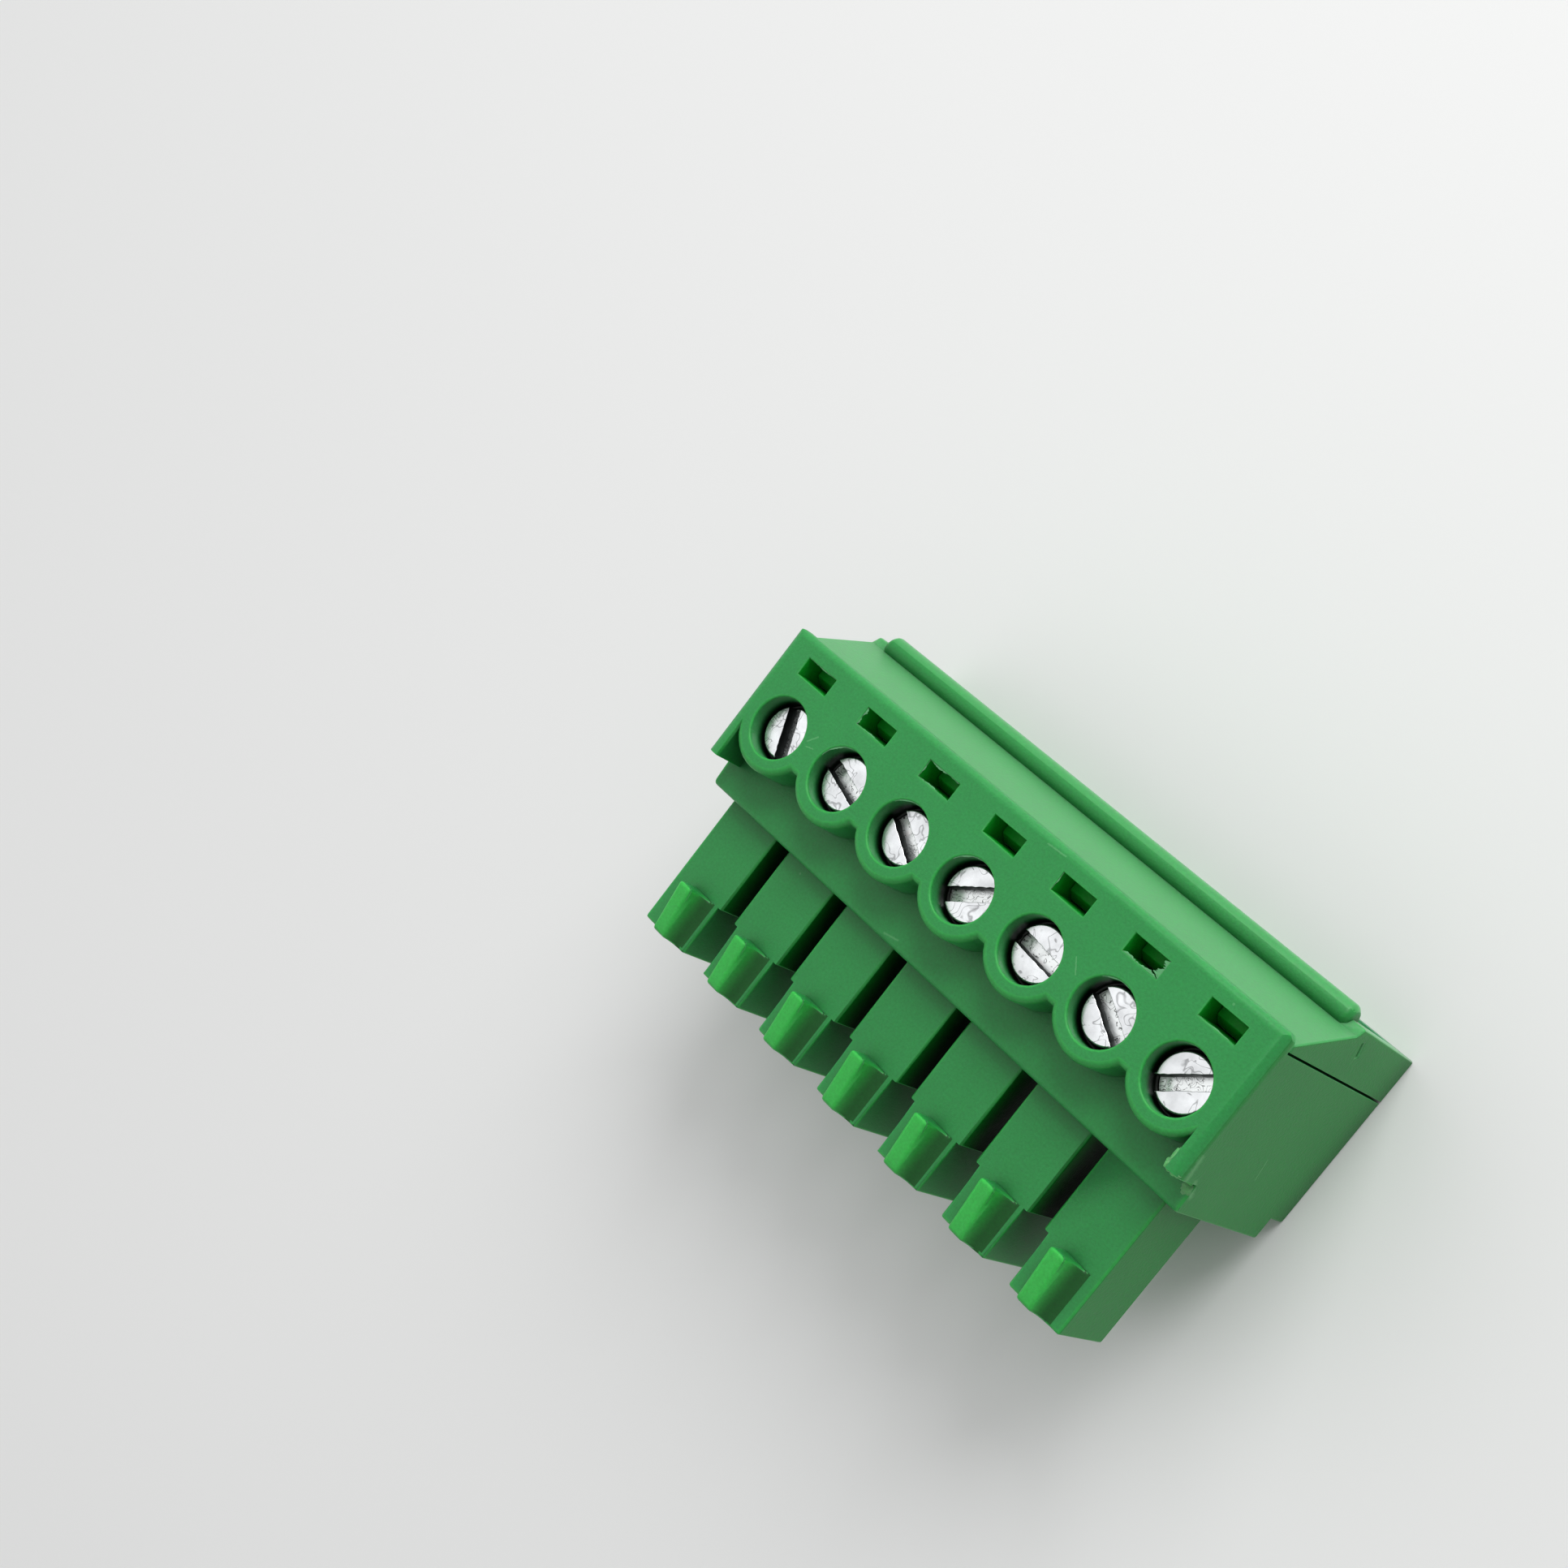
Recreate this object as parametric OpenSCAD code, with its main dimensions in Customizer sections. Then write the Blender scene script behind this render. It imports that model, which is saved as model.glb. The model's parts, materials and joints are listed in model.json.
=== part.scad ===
// Pluggable screw terminal block: the free half of a board connector.
// X runs along the poles, +Y is the wire side, -Y the plug side, +Z the screw face.
// The block lies on its base, with the screw heads facing up.

/* [Poles] */
// Number of poles
pole_count = 7; // [2:1:12]
// Distance from one screw to the next
pitch = 3.81; // [3.81:0.01:5.08]
// Distance from the last screw's axis to the end face
end_margin = 2.32; // [2.3:0.01:3]

/* [Housing] */
// Height of the whole block
body_h = 11.1; // [10.9:0.05:12]
// Height of the ledge that the collars rise from
ledge_h = 9.3; // [9:0.05:9.6]
// Distance from the screw row to the wall on the plug side
plug_wall_y = 3.78; // [3.6:0.02:4.2]
// Distance from the screw row to the joint between housing and cover
seam_y = 3.08; // [3.06:0.02:3.4]
// Depth of the step under the plug side
step_w = 0.95; // [0.5:0.05:1.2]
// Height of the step under the plug side
step_h = 1.2; // [0.8:0.05:1.8]
// Rounding of the ledge's outer edge
ledge_r = 0.25; // [0.1:0.05:0.4]
// Rounding of the two upper end edges
end_r = 0.5; // [0.2:0.05:0.6]
// How far the screw plate reaches over the cover
lip_reach = 0.7; // [0.55:0.05:0.8]
// Thickness of that lip
lip_t = 0.6; // [0.5:0.05:0.7]
// Rounding of the lip's upper edge
lip_r = 0.35; // [0.1:0.05:0.45]
// Rounding of the lip's two corners, seen from above
lip_corner_r = 0.35; // [0.1:0.05:0.45]
// Thickness of the raised walls at both ends
end_wall_t = 0.65; // [0.4:0.05:0.8]
// How far the end walls reach toward the plug side
end_wall_y = 2.55; // [2.2:0.05:2.8]

/* [Screw wells] */
// Outer diameter of the collar around each screw
collar_d = 4; // [3.84:0.02:4.2]
// How far the web between two collars reaches toward the plug side
web_reach = 1; // [0.7:0.05:1.2]
// Diameter of the hole for the screwdriver
driver_d = 2.67; // [2.5:0.01:2.9]
// Depth of that hole, down to the guide bore
driver_depth = 1.35; // [1.1:0.05:1.6]
// Length of the latch window, along the poles
window_w = 1.75; // [1.5:0.05:2]
// Width of the latch window, across the poles
window_l = 0.8; // [0.7:0.02:0.9]
// Distance from the screw row to the window's middle
window_y = 2.6; // [2.58:0.01:2.62]

/* [Pockets] */
// Wall between two neighbouring pockets
partition_t = 0.6; // [0.5:0.05:0.7]
// Floor under the pockets
floor_t = 1; // [0.8:0.05:1.2]
// Height of the pocket's ceiling
ceiling_z = 8.6; // [8.4:0.05:8.7]

/* [Fingers] */
// Width of a finger
finger_w = 3; // [2.9:0.05:3.3]
// Height of a finger's underside
finger_z = 4.6; // [4.4:0.05:4.8]
// Thickness of a finger, from underside to top
finger_h = 3.85; // [3.7:0.05:4]
// Length of a finger, out from the plug wall
finger_len = 6.32; // [5.8:0.02:7]
// Length of the narrower end of a finger
tip_len = 2.45; // [2:0.05:2.8]
// How much the end is set in on each side
tip_inset = 0.28; // [0.1:0.02:0.35]
// Wall of the contact chamber inside a finger
finger_wall = 0.45; // [0.35:0.05:0.5]
// Side of the square window that the header pin enters
pin_window = 1.3; // [1.2:0.05:1.5]
// Bevel around that window
pin_bevel = 0.3; // [0.15:0.05:0.35]

/* [Coding bosses] */
// Distance from the finger's middle to the boss's straight side
key_side = 0.45; // [0.3:0.05:0.6]
// Width of the boss's flat top
key_top_w = 0.75; // [0.5:0.05:0.9]
// Height of the boss at its back
key_h = 1.05; // [0.8:0.05:1.2]
// How much the top falls toward the finger's end
key_fall = 0.45; // [0.1:0.05:0.6]
// Radius of the hollow beside the boss
key_scoop_r = 0.85; // [0.6:0.05:0.95]

/* [Wire cover] */
// Depth of the cover at its foot
cover_depth = 2.05; // [1.9:0.05:2.6]
// How far the wire face leans out by the beading
cover_lean = 0.1; // [0:0.05:0.3]
// Height of the foot of the slanted panel
panel_foot_z = 6.35; // [6.35:0.05:6.6]
// Distance that the panel falls back from foot to top
panel_fall = 1.38; // [1.2:0.02:1.45]
// Joint line left between cover and housing
cover_gap = 0.1; // [0.03:0.01:0.14]
// Diameter of the beading over the wire mouths
bead_d = 1.2; // [1.1:0.05:1.3]
// Height of the beading's middle
bead_z = 5.85; // [5.75:0.05:6]
// Distance from the beading's end to the end face
bead_end_gap = 0.65; // [0.4:0.05:1.2]
// Bevel around the beading's ends
bead_bevel = 0.2; // [0.1:0.02:0.3]
// Width of a wire mouth
mouth_w = 3.1; // [2.8:0.05:3.2]
// Height of the sill under the wire mouths
mouth_sill = 0.9; // [0.7:0.05:1]
// Height of the mouth's upper edge
mouth_top = 5.25; // [5:0.05:5.3]
// Width of the throat behind the mouth
throat_w = 2.45; // [2.3:0.05:2.5]
// Height of the throat's upper edge
throat_top = 4.9; // [4.7:0.05:4.95]
// Wall of the collar that plugs into each pocket
spigot_t = 0.3; // [0.25:0.05:0.35]
// Length of that collar
spigot_len = 0.95; // [0.8:0.05:1]
// Thickness of a latch arm
latch_t = 0.6; // [0.5:0.05:0.65]
// Height of the nose on a latch arm
latch_nose = 0.5; // [0.3:0.05:0.6]
// Wall that the nose catches behind
catch_t = 0.24; // [0.2:0.02:0.3]

/* [Clamp] */
// Outer diameter of the screw's thread
thread_d = 1.9; // [1.8:0.02:2]
// Diameter of the screw head
head_d = 2.32; // [2.1:0.02:2.4]
// Height of the screw head
head_h = 1.2; // [1.1:0.05:1.3]
// Depth of the head's top below the screw face
head_sunk = 0.75; // [0.6:0.05:0.9]
// Width of the driver slot
slot_w = 0.6; // [0.4:0.02:0.7]
// Depth of the driver slot
slot_depth = 0.55; // [0.3:0.05:0.7]
// Angle at which each driver slot was left, from the first pole on
slot_turns = [-65, -16, -29, 34, -5, -29, 38]; // [-90:1:90]
// Depth of the cage along the wire
cage_depth = 3.7; // [3.4:0.05:3.75]
// Side walls of the cage
cage_side_t = 0.5; // [0.4:0.02:0.55]
// Bottom wall of the cage
cage_bottom_t = 0.6; // [0.5:0.05:0.7]
// Threaded upper wall of the cage
cage_top_t = 1.2; // [1:0.05:1.3]
// Rounding of the cage's outer edges
cage_r = 0.3; // [0.1:0.05:0.4]

/* [Contact] */
// Thickness of the contact's sheet
sheet_t = 0.5; // [0.4:0.02:0.52]
// Width of the bar under the screw
bar_w = 1.9; // [1.6:0.05:1.95]
// Height of the bar's underside
bar_z = 4.1; // [4:0.05:4.15]
// Thickness of the two spring arms
arm_t = 0.3; // [0.25:0.01:0.35]
// Height of the spring arms
arm_h = 2.3; // [2:0.05:2.4]
// Gap between the arms where they grip the pin
grip_gap = 0.84; // [0.7:0.02:0.9]
// Length of the straight part of each arm, from the bend on
arm_straight = 1.9; // [1.5:0.1:2.2]
// Distance from the finger's end to the grip
grip_back = 1.7; // [1.5:0.05:2]

/* [Fits] */
// Clearance around screws and in the guide bores
turn_clear = 0.05; // [0.03:0.01:0.08]
// Clearance between a cage and its pocket
cage_clear = 0.05; // [0.03:0.01:0.1]
// Clearance under a piece that rests on another
rest_clear = 0.05; // [0.02:0.01:0.1]
// Clearance around pieces that are pushed into the housing
push_clear = 0.03; // [0.02:0.01:0.05]

/* [Hidden] */

$fn = 64;
// Overlap that keeps a cut open at its face
cut = 1;

// The row of poles
row_len = (pole_count - 1) * pitch;
body_w = row_len + 2 * end_margin;
pole_x = [for (i = [0:pole_count - 1]) i * pitch - row_len / 2];

// Fingers and bosses
tip_y = plug_wall_y + finger_len;
finger_top = finger_z + finger_h;
chamber_w = finger_w - 2 * finger_wall;
chamber_z = finger_z + finger_wall;
chamber_h = finger_h - 2 * finger_wall;
tip_w = finger_w - 2 * tip_inset;
tip_wall = 0.5;
pin_z = finger_z + finger_h / 2;
// How far the boss stops short of the finger's step
key_back = 0.02;

// Pockets, from the contact wall to the joint with the cover
pocket_w = pitch - partition_t;
pocket_y = cage_depth / 2 + 2 * cage_clear;
window_back_y = window_y + window_l / 2;
latch_w = window_w - 2 * cage_clear;
// Flat that the latches bear on, below the lip
latch_drop = 1.05;
latch_top = body_h - lip_t - latch_drop;
// How far a latch arm runs into the cover's wall
latch_root = cover_gap + 0.2;
catch_y = seam_y + catch_t;
// Distance from the catching wall to each end face
catch_end = 0.75;

// Wire cover
sill_y = seam_y + cover_depth;
face_y = sill_y + cover_lean;
panel_top_z = body_h - lip_t - cover_gap;
// Step from the wire face back to the foot of the panel
shelf_w = 0.27;
// Height that the wire face reaches beside the beading
shelf_z = panel_foot_z - 0.3;
panel_foot_y = sill_y - shelf_w;
panel_top_y = panel_foot_y - panel_fall;
// How far the beading's middle lies behind the wire face
bead_back = 0.075;
bead_y = face_y - bead_back;
bead_len = body_w - 2 * bead_end_gap;
// Short nick left in one end face of the cover
nick_at = [4.48, 5.24];
nick_size = [0.3, 0.65, 0.14];
nick_turn = 31;
throat_z = floor_t + spigot_t + push_clear;

// The block's middle, front to back
wire_end_y = bead_y + bead_d / 2;
centre_y = (tip_y - wire_end_y) / 2;

// Screw, cage and contact
screw_point = 0.3;
head_edge = 0.08;
head_z = body_h - head_sunk - head_h;
bar_top = bar_z + sheet_t;
screw_tip_z = bar_top + rest_clear;
guide_d = head_d + 2 * turn_clear;
cage_bore_d = thread_d + 2 * turn_clear;
cage_w = pocket_w - 2 * cage_clear;
cage_z = floor_t + rest_clear;
cage_mouth_z = cage_z + cage_bottom_t;
cage_top_z = screw_tip_z + cage_top_t;
joggle_len = 0.75;
joggle_y = pocket_y + joggle_len;
strip_z = chamber_z + push_clear;
// Room between a spring arm and the chamber's side
arm_room = 0.1;
arm_x = chamber_w / 2 - arm_room;
// Length of the contact's base behind the bend
base_len = 2.2;
// How far the contact's ends stop short of what they reach for
end_short = 0.15;
// Offset that keeps the sheet's thickness in the sloping bend
bend_shift = 0.1;

// A slab whose outline lies in the Y-Z plane, centred along X
module side_profile(width, outline) {
    rotate([90, 0, 90])
        translate([0, 0, -width / 2])
            linear_extrude(width)
                polygon(outline);
}

// A block from its middle in X, its Y and Z ranges
module block(width, y0, y1, z0, z1) {
    translate([-width / 2, y0, z0])
        cube([width, y1 - y0, z1 - z0]);
}

// One copy at each screw
module at_poles() {
    for (x = pole_x)
        translate([x, 0, 0])
            children();
}

// Moves the screw row so that the block's footprint is centred
module centred() {
    translate([0, centre_y, 0])
        children();
}

// What is left outside a quarter round, to cut an edge with; it runs along Y
module edge_cutter(radius, length) {
    difference() {
        translate([0, -length / 2, 0])
            cube([radius + cut, length, radius + cut]);
        rotate([90, 0, 0])
            cylinder(r = radius, h = length + 2 * cut, center = true);
    }
}

// Main block up to the ledge, with the step under the plug side
module housing_base() {
    difference() {
        block(body_w, -plug_wall_y, seam_y, 0, ledge_h);
        block(body_w + 2 * cut, -plug_wall_y - cut, step_w - plug_wall_y, -cut, step_h);
        translate([0, ledge_r - plug_wall_y, ledge_h - ledge_r])
            rotate([0, 0, -90])
                edge_cutter(ledge_r, body_w + 2 * cut);
    }
}

// Screw plate with its lip, scalloped collars and end walls
module screw_face() {
    block(body_w, 0, seam_y, ledge_h - ledge_r, body_h);
    block(body_w, 0, seam_y + lip_reach, body_h - lip_t, body_h);
    block(body_w - 2 * catch_end, 0, catch_y, latch_top + push_clear, body_h);
    at_poles()
        translate([0, 0, ledge_h - ledge_r])
            cylinder(d = collar_d, h = body_h - ledge_h + ledge_r);
    for (i = [1:pole_count - 1])
        translate([(pole_x[i - 1] + pole_x[i]) / 2, 0, 0])
            block(collar_d / 4, -web_reach, 0, ledge_h - ledge_r, body_h);
    for (side = [-1, 1])
        translate([side * (body_w - end_wall_t) / 2, 0, 0])
            block(end_wall_t, -end_wall_y, 0, ledge_h - ledge_r, body_h);
}

// Raised coding boss on a finger's end, with the hollow beside it
module coding_boss() {
    key_len = tip_len - key_back;
    scoop_x = key_top_w - key_side + key_scoop_r;
    difference() {
        translate([(scoop_x - key_side) / 2, 0, 0])
            side_profile(scoop_x + key_side, [
                [-tip_y, finger_top - finger_wall],
                [-tip_y, finger_top + key_h - key_fall],
                [key_len - tip_y, finger_top + key_h],
                [key_len - tip_y, finger_top - finger_wall]
            ]);
        translate([scoop_x, -tip_y - cut, finger_top + key_scoop_r])
            rotate([-90, 0, 0])
                cylinder(r = key_scoop_r, h = key_len + 2 * cut);
    }
}

// Outside of one finger
module finger() {
    block(finger_w, tip_len - tip_y, cut - plug_wall_y, finger_z, finger_top);
    block(tip_w, -tip_y, tip_len - tip_y + cut, finger_z, finger_top);
    coding_boss();
}

// The two outermost flanks run straight, without the set-in end
module outer_flanks() {
    for (side = [-1, 1])
        translate([side * (row_len + tip_w) / 2, 0, 0])
            block(2 * tip_inset, -tip_y, tip_len - tip_y + cut, finger_z, finger_top);
}

// Outline of a square window that widens toward the finger's end
function window_outline(half) = [
    [cut - tip_y + tip_wall, half],
    [pin_bevel - tip_y, half],
    [-tip_y, half + pin_bevel],
    [-tip_y - cut, half + pin_bevel],
    [-tip_y - cut, -half - pin_bevel],
    [-tip_y, -half - pin_bevel],
    [pin_bevel - tip_y, -half],
    [cut - tip_y + tip_wall, -half]
];

// Square window for the header pin, with its bevel
module pin_entry() {
    intersection() {
        translate([0, 0, pin_z])
            side_profile(body_h, window_outline(pin_window / 2));
        linear_extrude(body_h)
            polygon([for (point = window_outline(pin_window / 2)) [point[1], point[0]]]);
    }
}

// Chamber for the contact
module finger_chamber() {
    block(chamber_w, tip_wall - tip_y, cut - pocket_y, chamber_z, chamber_z + chamber_h);
}

// Sloping way down for the contact's bend
module contact_ramp() {
    side_profile(bar_w + 2 * push_clear, [
        [-joggle_y - sheet_t, chamber_z + cut],
        [-joggle_y - sheet_t, chamber_z],
        [-joggle_y, chamber_z],
        [-pocket_y, bar_z - push_clear],
        [-pocket_y + cut, bar_z - push_clear],
        [-pocket_y + cut, chamber_z + cut]
    ]);
}

// Pocket for the clamp, open toward the cover
module clamp_pocket() {
    block(pocket_w, -pocket_y, seam_y + cut, floor_t, ceiling_z);
}

// Screwdriver hole and the guide bore under it
module screw_well() {
    translate([0, 0, body_h - driver_depth])
        cylinder(d = driver_d, h = driver_depth + cut);
    translate([0, 0, ceiling_z - cut])
        cylinder(d = guide_d, h = body_h - driver_depth - ceiling_z + 2 * cut);
}

// Window that a latch snaps into, and the way in under it
module latch_window() {
    block(window_w, window_back_y - window_l, window_back_y, latch_top - cut, body_h + cut);
    block(window_w, window_back_y - window_l, seam_y + cut, ceiling_z, latch_top + push_clear);
}

module housing() {
    color("#43985a")
        centred()
            difference() {
                union() {
                    housing_base();
                    screw_face();
                    at_poles()
                        finger();
                    outer_flanks();
                }
                at_poles() {
                    pin_entry();
                    finger_chamber();
                    contact_ramp();
                    clamp_pocket();
                    screw_well();
                    latch_window();
                }
                translate([0, seam_y + lip_reach - lip_r, body_h - lip_r])
                    rotate([0, 0, 90])
                        edge_cutter(lip_r, body_w + 2 * cut);
                for (side = [0, 1])
                    mirror([side, 0, 0]) {
                        translate([body_w / 2 - end_r, 0, body_h - end_r])
                            edge_cutter(end_r, 4 * body_h);
                        translate([body_w / 2 - lip_corner_r, seam_y + lip_reach - lip_corner_r, body_h])
                            rotate([-90, 0, 0])
                                edge_cutter(lip_corner_r, 4 * lip_t);
                    }
            }
}

// Outside of the cover: slanted panel over an upright wire face
module cover_shell() {
    side_profile(body_w, [
        [seam_y + cover_gap, 0],
        [sill_y, 0],
        [face_y, bead_z - bead_d / 2],
        [face_y, shelf_z],
        [panel_foot_y, panel_foot_z],
        [panel_top_y, panel_top_z],
        [seam_y + cover_gap, panel_top_z]
    ]);
    translate([0, bead_y, bead_z])
        rotate([0, 90, 0])
            cylinder(d = bead_d, h = bead_len - 2 * bead_bevel, center = true);
    for (side = [0, 1])
        mirror([side, 0, 0])
            translate([bead_len / 2 - bead_bevel, bead_y, bead_z])
                rotate([0, 90, 0])
                    cylinder(d1 = bead_d, d2 = bead_d - 2 * bead_bevel, h = bead_bevel);
}

// Short nick across one end face
module end_nick() {
    translate([body_w / 2, nick_at[0], nick_at[1]])
        rotate([nick_turn, 0, 0])
            cube(nick_size, center = true);
}

// Funnel from a wire mouth to its throat
module wire_mouth() {
    throat_y = seam_y - spigot_len - cut;
    intersection() {
        side_profile(mouth_w, [
            [throat_y, throat_z],
            [seam_y + cover_gap, throat_z],
            [sill_y, mouth_sill],
            [face_y + cut, mouth_sill],
            [face_y + cut, mouth_top],
            [face_y - cover_lean, mouth_top],
            [seam_y + cover_gap, throat_top],
            [throat_y, throat_top]
        ]);
        translate([0, 0, -cut])
            linear_extrude(body_h)
                polygon([
                    [-throat_w / 2, throat_y],
                    [throat_w / 2, throat_y],
                    [throat_w / 2, seam_y + cover_gap],
                    [mouth_w / 2, sill_y],
                    [mouth_w / 2, face_y + cut],
                    [-mouth_w / 2, face_y + cut],
                    [-mouth_w / 2, sill_y],
                    [-throat_w / 2, seam_y + cover_gap]
                ]);
    }
}

// Collar that centres the cover in a pocket
module spigot() {
    block(pocket_w - 2 * push_clear, seam_y - spigot_len, seam_y + cut,
        floor_t + push_clear, throat_top + spigot_t);
}

// Latch arm with the nose that shows in its window
module latch() {
    arm_y0 = window_back_y - window_l + cage_clear;
    nose_y = window_back_y - push_clear;
    arm_z = latch_top - latch_t;
    side_profile(latch_w, [
        [arm_y0, arm_z + latch_t / 2],
        [arm_y0 + latch_t / 2, arm_z],
        [seam_y + latch_root, arm_z],
        [seam_y + latch_root, latch_top],
        [nose_y, latch_top],
        [nose_y, latch_top + latch_nose],
        [nose_y - window_l / 2, latch_top + latch_nose],
        [arm_y0, latch_top]
    ]);
}

module wire_cover() {
    color("#4aa463")
        centred()
            difference() {
                union() {
                    difference() {
                        cover_shell();
                        block(body_w - 2 * catch_end + 2 * push_clear, seam_y - cut,
                            catch_y + push_clear, latch_top, body_h + cut);
                    }
                    at_poles() {
                        spigot();
                        latch();
                    }
                }
                at_poles()
                    wire_mouth();
                end_nick();
            }
}

// Slotted screw, held at its height between the contact's bar and the well
module clamp_screw(pole) {
    color("#c9ccd0")
        centred()
            translate([pole_x[pole - 1], 0, 0])
                difference() {
                    union() {
                        translate([0, 0, screw_tip_z])
                            cylinder(d1 = thread_d - 2 * screw_point, d2 = thread_d, h = screw_point);
                        translate([0, 0, screw_tip_z + screw_point])
                            cylinder(d = thread_d, h = head_z - screw_tip_z - screw_point);
                        translate([0, 0, head_z])
                            cylinder(d = head_d, h = head_h - head_edge);
                        translate([0, 0, head_z + head_h - head_edge])
                            cylinder(d1 = head_d, d2 = head_d - 2 * head_edge, h = head_edge);
                    }
                    rotate([0, 0, slot_turns[(pole - 1) % len(slot_turns)]])
                        translate([0, 0, head_z + head_h - slot_depth])
                            block(head_d + cut, -slot_w / 2, slot_w / 2, 0, slot_depth + cut);
                }
}

// Box-shaped cage that the screw lifts, with the wire's way through it
module clamp_cage(pole) {
    color("#d6c37a")
        centred()
            translate([pole_x[pole - 1], 0, 0])
                difference() {
                    block(cage_w, -cage_depth / 2, cage_depth / 2, cage_z, cage_top_z);
                    block(cage_w - 2 * cage_side_t, -cage_depth / 2 - cut, cage_depth / 2 + cut,
                        cage_mouth_z, screw_tip_z);
                    translate([0, 0, screw_tip_z - cut])
                        cylinder(d = cage_bore_d, h = cage_top_t + 2 * cut);
                    for (side = [0, 1])
                        mirror([side, 0, 0]) {
                            translate([cage_w / 2 - cage_r, 0, cage_top_z - cage_r])
                                edge_cutter(cage_r, cage_depth + 2 * cut);
                            translate([cage_w / 2 - cage_r, 0, cage_z + cage_r])
                                mirror([0, 0, 1])
                                    edge_cutter(cage_r, cage_depth + 2 * cut);
                        }
                }
}

// One spring arm of the fork, seen from above
module spring_arm() {
    root_y = joggle_y + sheet_t;
    bend_y = root_y + arm_straight;
    grip_y = tip_y - grip_back;
    mouth_y = tip_y - tip_wall - end_short;
    translate([0, 0, strip_z])
        linear_extrude(arm_h)
            polygon([
                [arm_x, -root_y],
                [arm_x, -bend_y],
                [grip_gap / 2 + arm_t, -grip_y],
                [arm_x, -mouth_y],
                [arm_x - arm_t, -mouth_y],
                [grip_gap / 2, -grip_y],
                [arm_x - arm_t, -bend_y],
                [arm_x - arm_t, -root_y]
            ]);
}

// Folded contact: fork for the header pin, bend, and bar under the screw
module contact(pole) {
    base_y = joggle_y + base_len;
    bar_y = cage_depth / 2 - end_short;
    color("#cfd2d0")
        centred()
            translate([pole_x[pole - 1], 0, 0]) {
                side_profile(bar_w, [
                    [-base_y, strip_z],
                    [-joggle_y, strip_z],
                    [-pocket_y, bar_z],
                    [bar_y, bar_z],
                    [bar_y, bar_top],
                    [-pocket_y - bend_shift, bar_top],
                    [-joggle_y - bend_shift, strip_z + sheet_t],
                    [-base_y, strip_z + sheet_t]
                ]);
                spring_arm();
                mirror([1, 0, 0])
                    spring_arm();
            }
}

housing();
wire_cover();
for (i = [1:pole_count]) {
    clamp_screw(i);
    clamp_cage(i);
    contact(i);
}
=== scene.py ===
# %% [markdown]
# # A pluggable screw terminal block
# A green plug that joins seven wires to a board header. Its screws sit in a row of wells, a second
# moulding with the wire mouths is latched to its back, and seven fingers carry the contacts. The
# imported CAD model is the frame: it fixes every size and place, and it is never moved. Each step
# below dresses one part of it, and every piece rides on the body that it belongs to.

# %% Load the frame
import bpy
import bmesh
import json
import math
import random
from mathutils import Matrix, Quaternion, Vector, noise


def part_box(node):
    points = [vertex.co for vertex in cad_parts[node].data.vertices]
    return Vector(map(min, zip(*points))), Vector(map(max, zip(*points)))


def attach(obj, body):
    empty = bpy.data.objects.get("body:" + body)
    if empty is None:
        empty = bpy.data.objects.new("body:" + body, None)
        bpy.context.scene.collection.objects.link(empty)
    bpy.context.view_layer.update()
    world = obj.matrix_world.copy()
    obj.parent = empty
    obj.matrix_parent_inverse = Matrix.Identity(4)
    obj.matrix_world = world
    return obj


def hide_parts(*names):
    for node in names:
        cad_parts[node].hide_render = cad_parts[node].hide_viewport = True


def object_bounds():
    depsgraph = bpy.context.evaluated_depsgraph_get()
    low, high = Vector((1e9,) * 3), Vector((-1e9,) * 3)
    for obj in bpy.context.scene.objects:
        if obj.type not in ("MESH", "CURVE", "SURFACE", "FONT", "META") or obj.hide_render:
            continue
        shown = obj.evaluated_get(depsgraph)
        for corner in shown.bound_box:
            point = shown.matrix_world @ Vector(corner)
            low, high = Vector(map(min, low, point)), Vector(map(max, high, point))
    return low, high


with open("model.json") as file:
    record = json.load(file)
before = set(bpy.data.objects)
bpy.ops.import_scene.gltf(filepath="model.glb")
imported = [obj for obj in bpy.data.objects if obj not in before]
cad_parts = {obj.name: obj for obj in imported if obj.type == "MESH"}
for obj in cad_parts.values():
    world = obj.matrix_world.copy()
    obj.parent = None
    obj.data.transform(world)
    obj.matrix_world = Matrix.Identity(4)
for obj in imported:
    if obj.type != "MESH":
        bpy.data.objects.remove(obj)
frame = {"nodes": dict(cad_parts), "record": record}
cad_box = [list(corner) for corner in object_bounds()]
nodes = frame["nodes"]
MM = 0.001
poles = sorted(int(name.rsplit("_", 1)[1]) for name in nodes if name.startswith("clamp_screw_"))
print("nodes:", len(nodes), "poles:", len(poles))
print("box in mm:", [[round(v / MM, 2) for v in corner] for corner in cad_box])

# %% [markdown]
# ## Places on the part
# Later steps have to know where the collars, windows, fingers and walls lie. Those places could be
# typed in pole by pole. Here the row of poles and the outer sizes are read from the solids' own
# boxes, so they stay right if the pitch changes, and only what no box tells is written down.
# Lengths are in millimetres from the middle of the part at floor level. The wires enter from +y.

# %% Places on the part
pole_x = {}
for pole in poles:
    low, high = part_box(f"clamp_screw_{pole}")
    pole_x[pole] = (low[0] + high[0]) / 2 / MM
    pole_y = (low[1] + high[1]) / 2 / MM
half_w = cad_box[1][0] / MM
top_z = cad_box[1][2] / MM
BOSS_DEPTH = 2.45
boss_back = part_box("housing")[0][1] / MM + BOSS_DEPTH
FINGER_TOP = 8.45
LEDGE_Z = 9.3
WELL_RADIUS = 1.335
WINDOW_HALF_X = 0.875
WINDOW_HALF_Y = 0.4
window_y = pole_y + 2.6
seam_y = pole_y + 3.08
wall_tip = pole_y - 2.55
ledge_tip = wall_tip - 1.3
print("poles at x:", {pole: round(x, 2) for pole, x in pole_x.items()}, "y:", round(pole_y, 3))

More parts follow.
